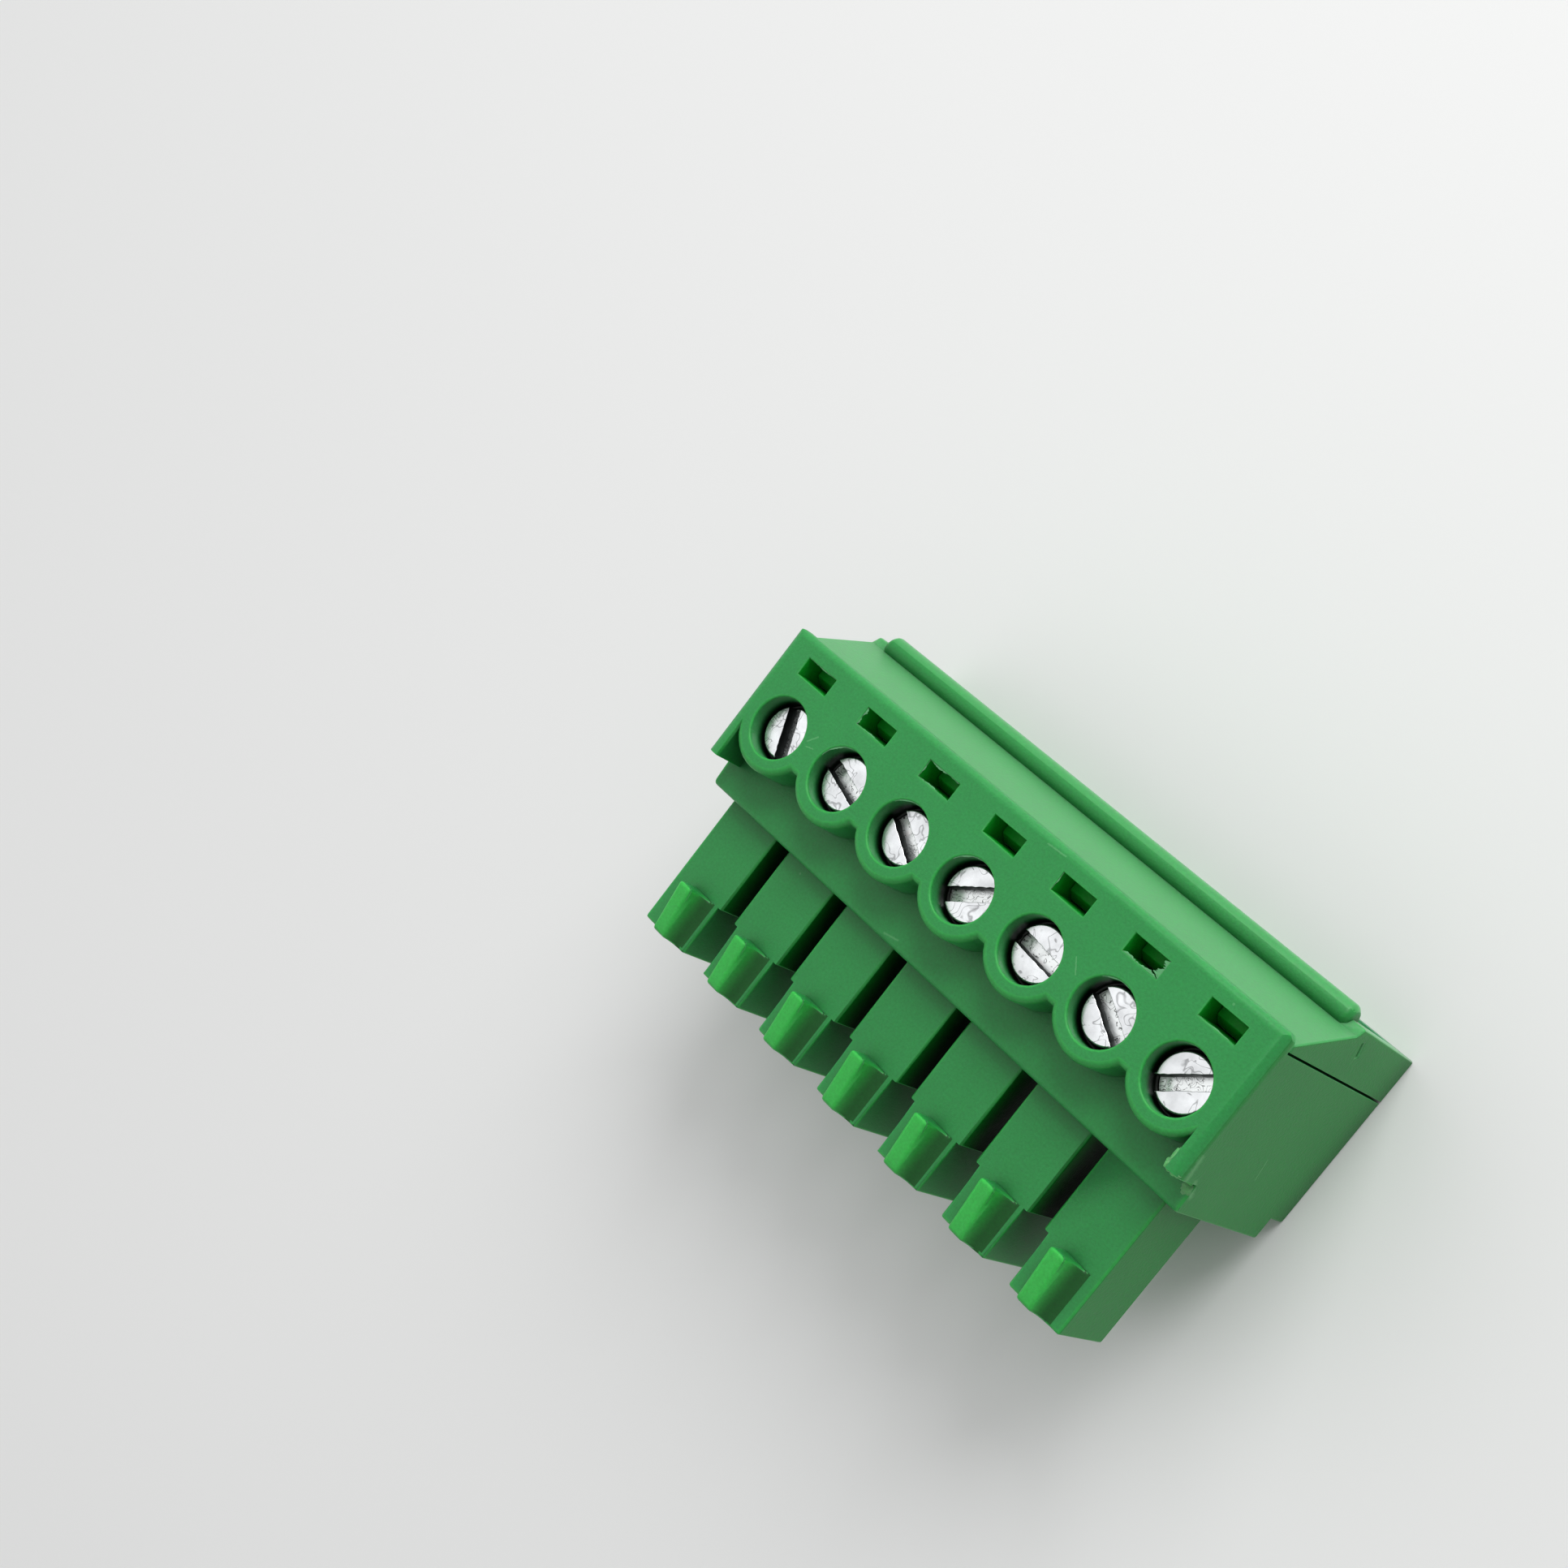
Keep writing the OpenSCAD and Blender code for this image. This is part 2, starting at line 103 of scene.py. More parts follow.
# %% [markdown]
# ## Camera
# The part is seen from above, with the fingers toward the lower left and the wire side at the
# upper right. The camera could be turned by three typed angles, but they are hard to read. It is
# aimed at a point beside the part instead, and then rolled about its own axis, so that the row of
# screws runs down across the view. A long lens gives a small thing the gentle perspective that it
# has in the hand.

# %% Camera
camera_place = Vector((42.569, 11.074, 84.489)) * MM
camera_aim = Vector((-13.810, -0.251, 5.0)) * MM
camera_roll = math.radians(61.79)

camera_data = bpy.data.cameras.new("camera")
camera_data.sensor_width = 36.0
camera_data.lens = 51.77
camera_data.clip_start = 0.005
camera_data.clip_end = 5.0
camera = bpy.data.objects.new("camera", camera_data)
bpy.context.scene.collection.objects.link(camera)
level = (camera_aim - camera_place).to_track_quat("-Z", "Y")
camera.rotation_mode = "QUATERNION"
camera.rotation_quaternion = level @ Quaternion((0.0, 0.0, 1.0), -camera_roll)
camera.location = camera_place
bpy.context.scene.camera = camera
print("camera to part in mm:", round((camera_place - camera_aim).length / MM, 1))

# %% [markdown]
# ## Helpers for node trees
# A node material is a little program. It could be wired by hand in the shader editor, but written
# out it can be read, repeated and changed. These helpers add a node, set its plain values, join
# sockets and lay the nodes out, so that each finish below reads as a list of what it is made of.

# %% Helpers for node trees
def add_node(tree, kind, **values):
    node = tree.nodes.new(kind)
    for key, value in values.items():
        setattr(node, key, value)
    return node


def feed(tree, value, socket):
    if isinstance(value, (int, float, tuple)):
        socket.default_value = value
    elif value is not None:
        tree.links.new(value, socket)


def set_inputs(node, **values):
    for key, value in values.items():
        node.inputs[key.replace("_", " ")].default_value = value
    return node


def new_group(name, inputs, outputs):
    group = bpy.data.node_groups.new(name, "ShaderNodeTree")
    for socket, kind, value in inputs:
        group.interface.new_socket(socket, in_out="INPUT", socket_type=kind).default_value = value
    for socket, kind in outputs:
        group.interface.new_socket(socket, in_out="OUTPUT", socket_type=kind)
    given, wanted = add_node(group, "NodeGroupInput"), add_node(group, "NodeGroupOutput")
    return group, given.outputs, wanted.inputs


def lay_out(tree):
    for number, node in enumerate(tree.nodes):
        node.location = (260 * (number // 4), -280 * (number % 4))


def described(group):
    return group.name, [socket.name for socket in group.interface.items_tree]


print("node helpers are ready")

# %% [markdown]
# ## Helpers for sums and noise
# Most effects are short sums on the place of a point. Typed out node by node they would fill
# pages, so a helper for each kind of sum keeps it on one line. Every effect works in object
# coordinates, so that grain and marks keep their real size and stay on their piece when it moves.

# %% Helpers for sums and noise
def plain_math(tree, operation, first, second=None, clamp=False):
    node = add_node(tree, "ShaderNodeMath", operation=operation, use_clamp=clamp)
    feed(tree, first, node.inputs[0])
    feed(tree, second, node.inputs[1])
    return node.outputs[0]


def vector_math(tree, operation, first, second=None, out="Vector"):
    node = add_node(tree, "ShaderNodeVectorMath", operation=operation)
    feed(tree, first, node.inputs[0])
    feed(tree, second, node.inputs[1])
    return node.outputs[out]


def scaled(tree, vector, gain):
    node = add_node(tree, "ShaderNodeVectorMath", operation="SCALE")
    feed(tree, vector, node.inputs[0])
    feed(tree, gain, node.inputs["Scale"])
    return node.outputs[0]


def object_place(tree):
    return add_node(tree, "ShaderNodeTexCoord").outputs["Object"]


def noise_at(tree, vector, scale, **values):
    node = set_inputs(add_node(tree, "ShaderNodeTexNoise"), **values)
    feed(tree, vector, node.inputs["Vector"])
    feed(tree, scale, node.inputs["Scale"])
    return node.outputs["Fac"]


print("sum and noise helpers are ready")

# %% [markdown]
# ## Moulded grain
# Moulded nylon isn't a mirror: the tool leaves a fine spark-eroded grain, and the colour drifts a
# little between thick and thin walls. A grain picture could be wrapped round the part, but it
# would stretch and repeat. Two noises in object space do neither: a fine one for the grain, a
# broad one for the drift. The fine one also lifts the surface and makes it rougher where it is
# high.

# %% Moulded grain group
DRIFT_PATCHES = 320.0
MOTTLE = 0.5
LEAST_ROUGH = 0.34
ROUGH_SPAN = 0.16
NYLON = (0.05, 0.3, 0.08, 1)
GRAIN_IN = [("Colour", "NodeSocketColor", NYLON), ("Grain size", "NodeSocketFloat", 9000.0),
            ("Drift", "NodeSocketFloat", 0.12)]
GRAIN_OUT = [("Colour", "NodeSocketColor"), ("Height", "NodeSocketFloat"),
             ("Roughness", "NodeSocketFloat")]
grain, given, wanted = new_group("moulded_grain", GRAIN_IN, GRAIN_OUT)
where = object_place(grain)
fine = noise_at(grain, where, given["Grain size"], Detail=3.0, Roughness=0.6)
broad = noise_at(grain, where, DRIFT_PATCHES, Detail=3.0, Roughness=0.55)
swing = plain_math(grain, "MULTIPLY", plain_math(grain, "SUBTRACT", broad, 0.5), given["Drift"])
mottle = plain_math(grain, "MULTIPLY", plain_math(grain, "SUBTRACT", fine, 0.5), MOTTLE)
gain = plain_math(grain, "ADD", plain_math(grain, "ADD", swing, mottle), 1.0)
rough = plain_math(grain, "ADD", plain_math(grain, "MULTIPLY", fine, ROUGH_SPAN), LEAST_ROUGH)
feed(grain, scaled(grain, given["Colour"], gain), wanted["Colour"])
feed(grain, fine, wanted["Height"])
feed(grain, rough, wanted["Roughness"])
lay_out(grain)
print("group:", *described(grain))

# %% [markdown]
# ## Scuffs
# A plug that has been handled carries a few short scuffs, where something hard scraped the nylon
# and left it paler. They could be cut as shallow grooves, but they are thinner than a hair. So a
# scuff is a mask round a line between two points. The group finds the nearest point of the line,
# measures how far away it is, and compares that with a ragged width.

# %% Scuff group
RAGGED_SIZE = 11000.0
SCUFF_IN = [("Start", "NodeSocketVector", (0, 0, 0)), ("End", "NodeSocketVector", (0.001, 0, 0)),
            ("Width", "NodeSocketFloat", 0.00006)]
scuff, given, wanted = new_group("scuff", SCUFF_IN, [("Mask", "NodeSocketFloat")])
where = object_place(scuff)
along = vector_math(scuff, "SUBTRACT", given["End"], given["Start"])
offset = vector_math(scuff, "SUBTRACT", where, given["Start"])
passed = vector_math(scuff, "DOT_PRODUCT", offset, along, out="Value")
whole = vector_math(scuff, "DOT_PRODUCT", along, along, out="Value")
nearest = scaled(scuff, along, plain_math(scuff, "DIVIDE", passed, whole, clamp=True))
apart = vector_math(scuff, "LENGTH", vector_math(scuff, "SUBTRACT", offset, nearest), out="Value")
ragged = plain_math(scuff, "MULTIPLY", noise_at(scuff, where, RAGGED_SIZE, Detail=2.0), 2.0)
near = plain_math(scuff, "DIVIDE", apart, plain_math(scuff, "MULTIPLY", ragged, given["Width"]))
feed(scuff, plain_math(scuff, "SUBTRACT", 1.0, near, clamp=True), wanted["Mask"])
lay_out(scuff)
print("group:", *described(scuff))

# %% [markdown]
# ## Specks
# Dust and tiny chips settle on any flat top. Loose grains could be scattered as meshes, but each
# would be a piece of its own. A Voronoi pattern is enough: each of its cells holds one speck at
# most, and only a small share of the cells shows theirs.

# %% Speck group
SPECK_IN = [("Cells", "NodeSocketFloat", 1500.0), ("Size", "NodeSocketFloat", 0.08),
            ("Share", "NodeSocketFloat", 0.1)]
specks, given, wanted = new_group("specks", SPECK_IN, [("Mask", "NodeSocketFloat")])
cells = add_node(specks, "ShaderNodeTexVoronoi")
feed(specks, object_place(specks), cells.inputs["Vector"])
feed(specks, given["Cells"], cells.inputs["Scale"])
split = add_node(specks, "ShaderNodeSeparateColor")
feed(specks, cells.outputs["Color"], split.inputs[0])
inside = plain_math(specks, "LESS_THAN", cells.outputs["Distance"], given["Size"])
chosen = plain_math(specks, "LESS_THAN", split.outputs[0], given["Share"])
feed(specks, plain_math(specks, "MULTIPLY", inside, chosen), wanted["Mask"])
lay_out(specks)
print("group:", *described(specks))

# %% [markdown]
# ## Height shade
# Thin crests of nylon let light through and look paler, while the bottom of a hollow or a well is
# dark. Light alone would show that after very many bounces. The group paints that highlight and
# shade into the colour instead: it scales a colour by height, with one gain below a low level,
# another above a high one, and a ramp between.

# %% Height shade group
HEIGHT_SHADE_IN = [("Colour", "NodeSocketColor", NYLON), ("Low", "NodeSocketFloat", 0.0),
           ("High", "NodeSocketFloat", 0.001), ("Low gain", "NodeSocketFloat", 0.5),
           ("High gain", "NodeSocketFloat", 1.0)]
HEIGHT_SHADE_RAMP = {"Low": "From Min", "High": "From Max", "Low gain": "To Min", "High gain": "To Max"}
height_shade, given, wanted = new_group("painted_height_shade", HEIGHT_SHADE_IN, [("Colour", "NodeSocketColor")])
split = add_node(height_shade, "ShaderNodeSeparateXYZ")
feed(height_shade, object_place(height_shade), split.inputs[0])
ramp = add_node(height_shade, "ShaderNodeMapRange", interpolation_type="SMOOTHSTEP")
feed(height_shade, split.outputs["Z"], ramp.inputs["Value"])
for source, target in HEIGHT_SHADE_RAMP.items():
    feed(height_shade, given[source], ramp.inputs[target])
feed(height_shade, scaled(height_shade, given["Colour"], ramp.outputs["Result"]), wanted["Colour"])
lay_out(height_shade)
print("group:", *described(height_shade))

# %% [markdown]
# ## Painted shade in deep corners
# Light that enters a narrow gap is swallowed by the dye after a few bounces, so the gap lies in
# shade. Darker paint could be put in each gap face by face. The group paints that shade for every
# corner at once: it measures how closed in a point is, within a reach of nearly two millimetres,
# and darkens the colour there.

# %% Corner shade group
CORNER_IN = [("Colour", "NodeSocketColor", NYLON), ("Reach", "NodeSocketFloat", 0.0018),
             ("Closed gain", "NodeSocketFloat", 0.3)]
corner, given, wanted = new_group("corner_shade", CORNER_IN, [("Colour", "NodeSocketColor")])
openness = add_node(corner, "ShaderNodeAmbientOcclusion", samples=8)
feed(corner, given["Reach"], openness.inputs["Distance"])
span = add_node(corner, "ShaderNodeMapRange")
feed(corner, openness.outputs["AO"], span.inputs["Value"])
feed(corner, given["Closed gain"], span.inputs["To Min"])
feed(corner, scaled(corner, given["Colour"], span.outputs["Result"]), wanted["Colour"])
lay_out(corner)
print("group:", *described(corner))

# %% [markdown]
# ## Green nylon
# The housing and the cover are moulded from the same dyed nylon. One plain green would look like
# paint, since a real moulding changes with its walls and its wear, and its hollows lie in shade.
# So the colour runs through the groups one after the other: grain, specks and scuffs, then a
# painted highlight and painted shade by height, and painted shade in the corners. The shader then
# adds a little light that travels inside the plastic, most of it green. A scuff is given by its
# start, end and width, and the height shade by two levels and their two gains.

# %% Green nylon
PALE_GREEN = (0.22, 0.56, 0.26, 1)
SPECK_SHARE = 0.05
SPECK_FADE = 0.3
SCUFF_FADE = 0.4
GRAIN_LIFT = 0.00002
INNER_LIGHT = {"Subsurface Weight": 0.5, "Subsurface Radius": (0.12, 1.0, 0.2),
               "Subsurface Scale": 0.0006}


def use_group(tree, group, **values):
    return set_inputs(add_node(tree, "ShaderNodeGroup", node_tree=group), **values)


def paler(tree, colour, mask, share):
    mixed = add_node(tree, "ShaderNodeMix", data_type="RGBA")
    feed(tree, plain_math(tree, "MULTIPLY", mask, share), mixed.inputs[0])
    feed(tree, colour, mixed.inputs[6])
    feed(tree, PALE_GREEN, mixed.inputs[7])
    return mixed.outputs[2]


def lift(tree, shader, height, strength, distance):
    relief = set_inputs(add_node(tree, "ShaderNodeBump"), Strength=strength, Distance=distance)
    feed(tree, height, relief.inputs["Height"])
    feed(tree, relief.outputs["Normal"], shader.inputs["Normal"])


def green_nylon(name, colour, grain_size=9000.0, bump=0.7, shine=0.32, bloom=0.0, drift=0.16,
                scuffs=(), levels=None, closed_gain=0.22):
    material = bpy.data.materials.new(name)
    material.use_nodes = True
    tree = material.node_tree
    shader = tree.nodes["Principled BSDF"]
    made = use_group(tree, grain, Colour=(*colour, 1), Grain_size=grain_size, Drift=drift)
    dust = use_group(tree, specks, Share=SPECK_SHARE)
    colour_now = paler(tree, made.outputs["Colour"], dust.outputs["Mask"], SPECK_FADE)
    for start, end, width in scuffs:
        line = use_group(tree, scuff, Start=[v * MM for v in start], End=[v * MM for v in end],
                         Width=width * MM)
        colour_now = paler(tree, colour_now, line.outputs["Mask"], SCUFF_FADE)
    # Painted highlight and painted shade by height, where levels are given.
    if levels:
        low, high, low_gain, high_gain = levels
        deep = use_group(tree, height_shade, Low=low * MM, High=high * MM, Low_gain=low_gain,
                         High_gain=high_gain)
        feed(tree, colour_now, deep.inputs["Colour"])
        colour_now = deep.outputs["Colour"]
    # Painted shade in every closed-in corner.
    closed = use_group(tree, corner, Closed_gain=closed_gain)
    feed(tree, colour_now, closed.inputs["Colour"])
    feed(tree, closed.outputs["Colour"], shader.inputs["Base Color"])
    feed(tree, made.outputs["Roughness"], shader.inputs["Roughness"])
    lift(tree, shader, made.outputs["Height"], bump, GRAIN_LIFT)
    shader.inputs["Specular IOR Level"].default_value = shine
    shader.inputs["Sheen Weight"].default_value = bloom
    shader.inputs["Sheen Roughness"].default_value = 0.45
    for socket, value in INNER_LIGHT.items():
        shader.inputs[socket].default_value = value
    lay_out(tree)
    return material


print("groups in green nylon:", [group.name for group in (grain, specks, scuff, height_shade, corner)])

# %% [markdown]
# ## The greens of this block
# One dye gives several greens here, because light meets the walls in different ways, and most of
# them are painted light: the rounded edges and the crests of the bosses carry a painted highlight,
# the latch arms in the windows a painted glow, and the wells, the wire mouths, the end faces, the
# foot of the bosses and the gaps between the fingers painted shade. Torn or stretched nylon turns
# whitish. They could all come from one material with many masks. A material for each kind of wall
# is plainer, and each keeps its own short list of values. The scuffs lie on the screw plate, on
# the ledge, on one finger and on the near end face.

# %% The greens of this block
HOUSING_COLOUR = (0.026, 0.295, 0.07)
housing_scuffs = [
    ((-9.85, 2.55, top_z), (-9.55, 2.95, top_z), 0.05),
    ((-9.75, 2.35, top_z), (-9.4, 2.45, top_z), 0.04),
    ((5.5, 3.1, top_z), (5.9, 2.6, top_z), 0.04),
    ((1.7, 5.6, top_z), (2.6, 5.65, top_z), 0.05),
    ((-2.6, -1.35, LEDGE_Z), (-1.9, -1.2, LEDGE_Z), 0.06),
    ((9.3, -6.9, FINGER_TOP), (9.6, -6.2, FINGER_TOP), 0.05),
]
side_scuffs = [
    ((half_w, wall_tip + 0.1, top_z - 0.75), (half_w, wall_tip + 1.0, top_z - 0.55), 0.22),
    ((half_w, wall_tip + 0.05, top_z - 1.5), (half_w, wall_tip - 0.5, LEDGE_Z - 0.25), 0.2),
    ((half_w, 0.6, 5.2), (half_w, 1.5, 5.5), 0.04),
    ((half_w, -5.6, 5.1), (half_w, -5.2, 5.9), 0.04),
]
# Levels and gains of the painted shade by height: deep in the wells, at the foot of the bosses
# under a painted highlight on their crests, and deep in the gaps.
well_levels = (top_z - 0.95, top_z - 0.4, 0.05, 1.1)
boss_levels = (FINGER_TOP + 0.1, FINGER_TOP + 0.75, 0.3, 1.4)
gap_levels = (FINGER_TOP - 1.6, FINGER_TOP + 0.1, 0.05, 0.8)

housing_green = green_nylon("housing_green", HOUSING_COLOUR, scuffs=housing_scuffs)
# Painted highlight: the rounded edges made by the bevel are paler.
edge_highlight_green = green_nylon("edge_highlight_green", (0.028, 0.345, 0.068))
# Painted shade: the wells darken towards their bottoms.
well_shade_green = green_nylon("well_shade_green", HOUSING_COLOUR, levels=well_levels)
# Painted highlight on the boss crests and painted shade at their foot.
boss_highlight_shade_green = green_nylon("boss_highlight_shade_green", (0.036, 0.35, 0.062), shine=0.2, levels=boss_levels)
# Painted shade: the gaps between the fingers darken towards their bottoms.
gap_shade_green = green_nylon("gap_shade_green", (0.008, 0.29, 0.03), shine=0.05, levels=gap_levels)
# Painted shade on the end faces and outer flanks, which also carry real scuffs.
side_shade_green = green_nylon("side_shade_green", (0.022, 0.24, 0.048), shine=0.18, scuffs=side_scuffs)
cover_green = green_nylon("cover_green", (0.026, 0.33, 0.07), 7500.0, 0.4, shine=0.5, bloom=0.35)
# Painted glow: the latch arms and window walls are a brighter green, as if lit through.
latch_glow_green = green_nylon("latch_glow_green", (0.012, 0.48, 0.04), shine=0.15, closed_gain=0.65)
# Painted shade: the insides of the wire mouths are darker, with deeper corners.
mouth_shade_green = green_nylon("mouth_shade_green", (0.018, 0.27, 0.055), closed_gain=0.12)
torn_green = green_nylon("torn_green", (0.14, 0.50, 0.16), 12000.0, 1.0, drift=0.3)
whitened_green = green_nylon("whitened_green", (0.12, 0.48, 0.17), 14000.0, 0.6, drift=0.3)
print("greens:", [m.name for m in bpy.data.materials if m.name.endswith("green")])

# %% [markdown]
# ## Placing a piece
# Each visible piece has to know two things: its material and the body that it rides on. One helper
# says both, so neither is forgotten. The others clean a copy of a CAD solid and count what a piece
# holds. A copy is cleaned because the solid comes as triangles: welded and with its flat faces
# joined, it has only its true edges left.

# %% Placing a piece
WELD = 2e-6
FLAT_ANGLE = math.radians(2.0)


def placed(name, mesh, body, material):
    piece = bpy.data.objects.new(name, mesh)
    bpy.context.scene.collection.objects.link(piece)
    mesh.materials.clear()
    mesh.materials.append(material)
    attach(piece, body)
    return piece


def clean_copy(node):
    solid = bmesh.new()
    solid.from_mesh(nodes[node].data)
    bmesh.ops.remove_doubles(solid, verts=solid.verts, dist=WELD)
    bmesh.ops.dissolve_limit(solid, angle_limit=FLAT_ANGLE, verts=solid.verts, edges=solid.edges)
    return solid


def final_mesh(piece):
    shown = piece.evaluated_get(bpy.context.evaluated_depsgraph_get())
    return bpy.data.meshes.new_from_object(shown)


def tally(piece):
    shown = piece.evaluated_get(bpy.context.evaluated_depsgraph_get()).to_mesh()
    return len(shown.vertices), sum(len(face.vertices) - 2 for face in shown.polygons)


print("faces of the housing, cleaned:", len(clean_copy("housing").faces))

# %% [markdown]
# ## Soft edges
# CAD edges are knife sharp, and neither a moulding nor a stamping is. A bevel node in the material
# could fake a soft edge, but it wouldn't change the shape. Here the edges are really rounded: each
# outer edge gets a weight, its own share of the widest rounding, and one bevel follows the
# weights. Inner corners stay sharp, because the mould is milled there. The bevel is applied at
# once. Edges that still turn by more than 45 degrees are then marked sharp, so that flat faces
# stay flat.

# %% Soft edges
WIDEST = 0.25
SHARP_ANGLE = math.radians(45.0)
FACE_PULL = 90


def weigh_edges(solid, width_of, least_angle):
    weight = solid.edges.layers.float.new("bevel_weight_edge")
    for edge in solid.edges:
        if edge.calc_face_angle(0.0) < least_angle:
            continue
        middle = (edge.verts[0].co + edge.verts[1].co) / 2 / MM
        width = width_of(middle) if edge.is_convex else 0.0
        edge[weight] = width / WIDEST
        edge.smooth = width > 0


def mark_sharp(mesh):
    sharp_before = [edge.use_edge_sharp for edge in mesh.edges]
    mesh.set_sharp_from_angle(angle=SHARP_ANGLE)
    for edge, sharp in zip(mesh.edges, sharp_before):
        edge.use_edge_sharp = edge.use_edge_sharp or sharp


def rounded(name, solid, width_of, body, material, segments=3, angle=28.0,
            edge_material=None):
    weigh_edges(solid, width_of, math.radians(angle))
    blank = bpy.data.meshes.new(name)
    solid.to_mesh(blank)
    solid.free()
    blank.shade_smooth()
    piece = placed(name, blank, body, material)
    rounding = piece.modifiers.new("rounding", "BEVEL")
    rounding.limit_method = "WEIGHT"
    rounding.width = WIDEST * MM
    rounding.segments = segments
    rounding.use_clamp_overlap = False
    rounding.miter_outer = "MITER_SHARP"
    if edge_material:
        blank.materials.append(edge_material)
        rounding.material = 1
    shaped = final_mesh(piece)
    piece.modifiers.clear()
    piece.data = shaped
    bpy.data.meshes.remove(blank)
    shaped.name = name
    mark_sharp(shaped)
    even = piece.modifiers.new("normals", "WEIGHTED_NORMAL")
    even.keep_sharp = True
    even.weight = FACE_PULL
    return piece


print("widest rounding in mm:", WIDEST)

# %% [markdown]
# ## How far each edge of the housing is rounded
# The collars round the wells have the softest edges, a quarter of a millimetre. The plate and the
# bosses follow, and the rims of the wells and of the latch windows are crisp. One width for all
# would be simpler, but it would either melt the small rims or leave the collars hard. Where short
# edges crowd together, at the tips of the end walls, at the lip's corners and behind each boss, a
# bevel would run past its neighbours, so those edges stay as they are. The first line that holds
# counts.

# %% How far each edge is rounded
SKIN, HAIR = 0.02, 0.05
COLLAR, PLATE, BOSS, BODY, WELL_RIM, THIN_RIM, SEAM = 0.25, 0.18, 0.16, 0.11, 0.09, 0.05, 0.03
COVER_EDGE = 0.09


def to_pole(at):
    return min(abs(at.x - x) for x in pole_x.values())


def housing_width(at):
    outer, aside = half_w - abs(at.x), to_pole(at)
    behind_boss = abs(at.y - boss_back) < HAIR and abs(at.z - FINGER_TOP) < HAIR
    under_lip = at.y > seam_y + SKIN and at.z < top_z - 0.3
    lip_corner = outer < 0.56 and at.y > pole_y + 3.0 and at.z > top_z - 0.6
    end_wall = outer < 0.7 and at.y < pole_y and at.z > LEDGE_Z + HAIR
    window_rim = aside < WINDOW_HALF_X + HAIR and abs(at.y - window_y) < WINDOW_HALF_Y + HAIR
    first_that_holds = (
        (behind_boss or under_lip, 0.0),
        (abs(at.y - seam_y) < SKIN, SEAM),
        (abs(at.y - wall_tip) < SKIN or lip_corner, 0.0),
        (end_wall, THIN_RIM),
        (at.z > FINGER_TOP + HAIR and at.y < boss_back + HAIR, BOSS),
        (at.z < top_z - HAIR, BODY),
        (math.hypot(aside, at.y - pole_y) < WELL_RADIUS + HAIR, WELL_RIM),
        (at.y < pole_y, COLLAR),
        (window_rim, THIN_RIM),
        (True, PLATE),
    )
    return next(width for holds, width in first_that_holds if holds)


def cover_width(at):
    return COVER_EDGE if at.y > seam_y + 0.15 else SEAM


middle_collar = Vector((pole_x[poles[0]], pole_y - 1.9, top_z))
print("rounding of a collar's edge in mm:", housing_width(middle_collar))

# %% [markdown]
# ## Which wall gets which green
# A face is chosen by where its middle lies and which way it looks. Most of these choices say
# where painted shade, a painted highlight or a painted glow goes. The faces could be picked by
# number, but the numbers change with every new rounding. A place on the part doesn't.

# %% Which wall gets which green
WINDOW_DEPTH = 1.6
MOUTH_TOP = top_z - 3.0
RIM = 0.1
SHELL = 0.2
END_SHELL = 0.3
FLANK = 1.1
WELL_SHELL = 0.045
SIDEWAYS = 0.9


def in_well(at, normal):
    reach = math.hypot(to_pole(at), at.y - pole_y)
    return reach < WELL_RADIUS + WELL_SHELL and FINGER_TOP < at.z < top_z - RIM


def in_window(at, normal):
    beside = to_pole(at) < WINDOW_HALF_X + SKIN and abs(at.y - window_y) < WINDOW_HALF_Y + SKIN
    return beside and top_z - WINDOW_DEPTH < at.z < top_z - RIM


def in_mouth(at, normal):
    return SHELL < at.z < MOUTH_TOP and abs(at.x) < half_w - SHELL and normal.y < 0.5


def in_gap(at, normal):
    inner = abs(normal.x) > SIDEWAYS and abs(at.x) < half_w - FLANK
    return inner and boss_back < at.y < ledge_tip and at.z < FINGER_TOP


def on_end(at, normal):
    flank = abs(at.x) > half_w - FLANK and at.y < ledge_tip
    return abs(normal.x) > SIDEWAYS and (abs(at.x) > half_w - END_SHELL or flank)


def on_boss(at, normal):
    return at.z > FINGER_TOP + SKIN and at.y < boss_back + HAIR and abs(normal.y) < 0.7


def paint(piece, material, chosen):
    mesh = piece.data
    mesh.materials.append(material)
    index = len(mesh.materials) - 1
    faces = [face for face in mesh.polygons if chosen(face.center / MM, face.normal)]
    for face in faces:
        face.material_index = index
    return len(faces)


print("a window's wall counts as a window:",
      in_window(Vector((pole_x[poles[0]], window_y, top_z - 1.0)), Vector((0, 0, 1))))

# %% [markdown]
# ## The two mouldings
# The housing holds the screw wells, the latch windows and the seven fingers. The wire cover plugs
# into its back and shows its latch arms in the windows.

# %% The two mouldings
# The bevel's own faces take the paler edge green, a painted highlight, and the chosen walls get
# their painted shade, highlight or glow.
housing = rounded("housing_moulding", clean_copy("housing"), housing_width, "block",
                  housing_green, edge_material=edge_highlight_green)
for material, chosen in ((well_shade_green, in_well), (boss_highlight_shade_green, on_boss), (gap_shade_green, in_gap),
                         (side_shade_green, on_end), (latch_glow_green, in_window)):
    print(material.name, "on", paint(housing, material, chosen), "faces of the housing")
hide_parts("housing")

cover = rounded("cover_moulding", clean_copy("wire_cover"), cover_width, "block",
                cover_green)
# The cover's latch arms get the painted glow, its wire mouths and end faces painted shade.
for material, chosen in ((latch_glow_green, in_window), (mouth_shade_green, in_mouth), (side_shade_green, on_end)):
    print(material.name, "on", paint(cover, material, chosen), "faces of the cover")
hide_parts("wire_cover")
print("vertices and triangles: housing", tally(housing), "cover", tally(cover))

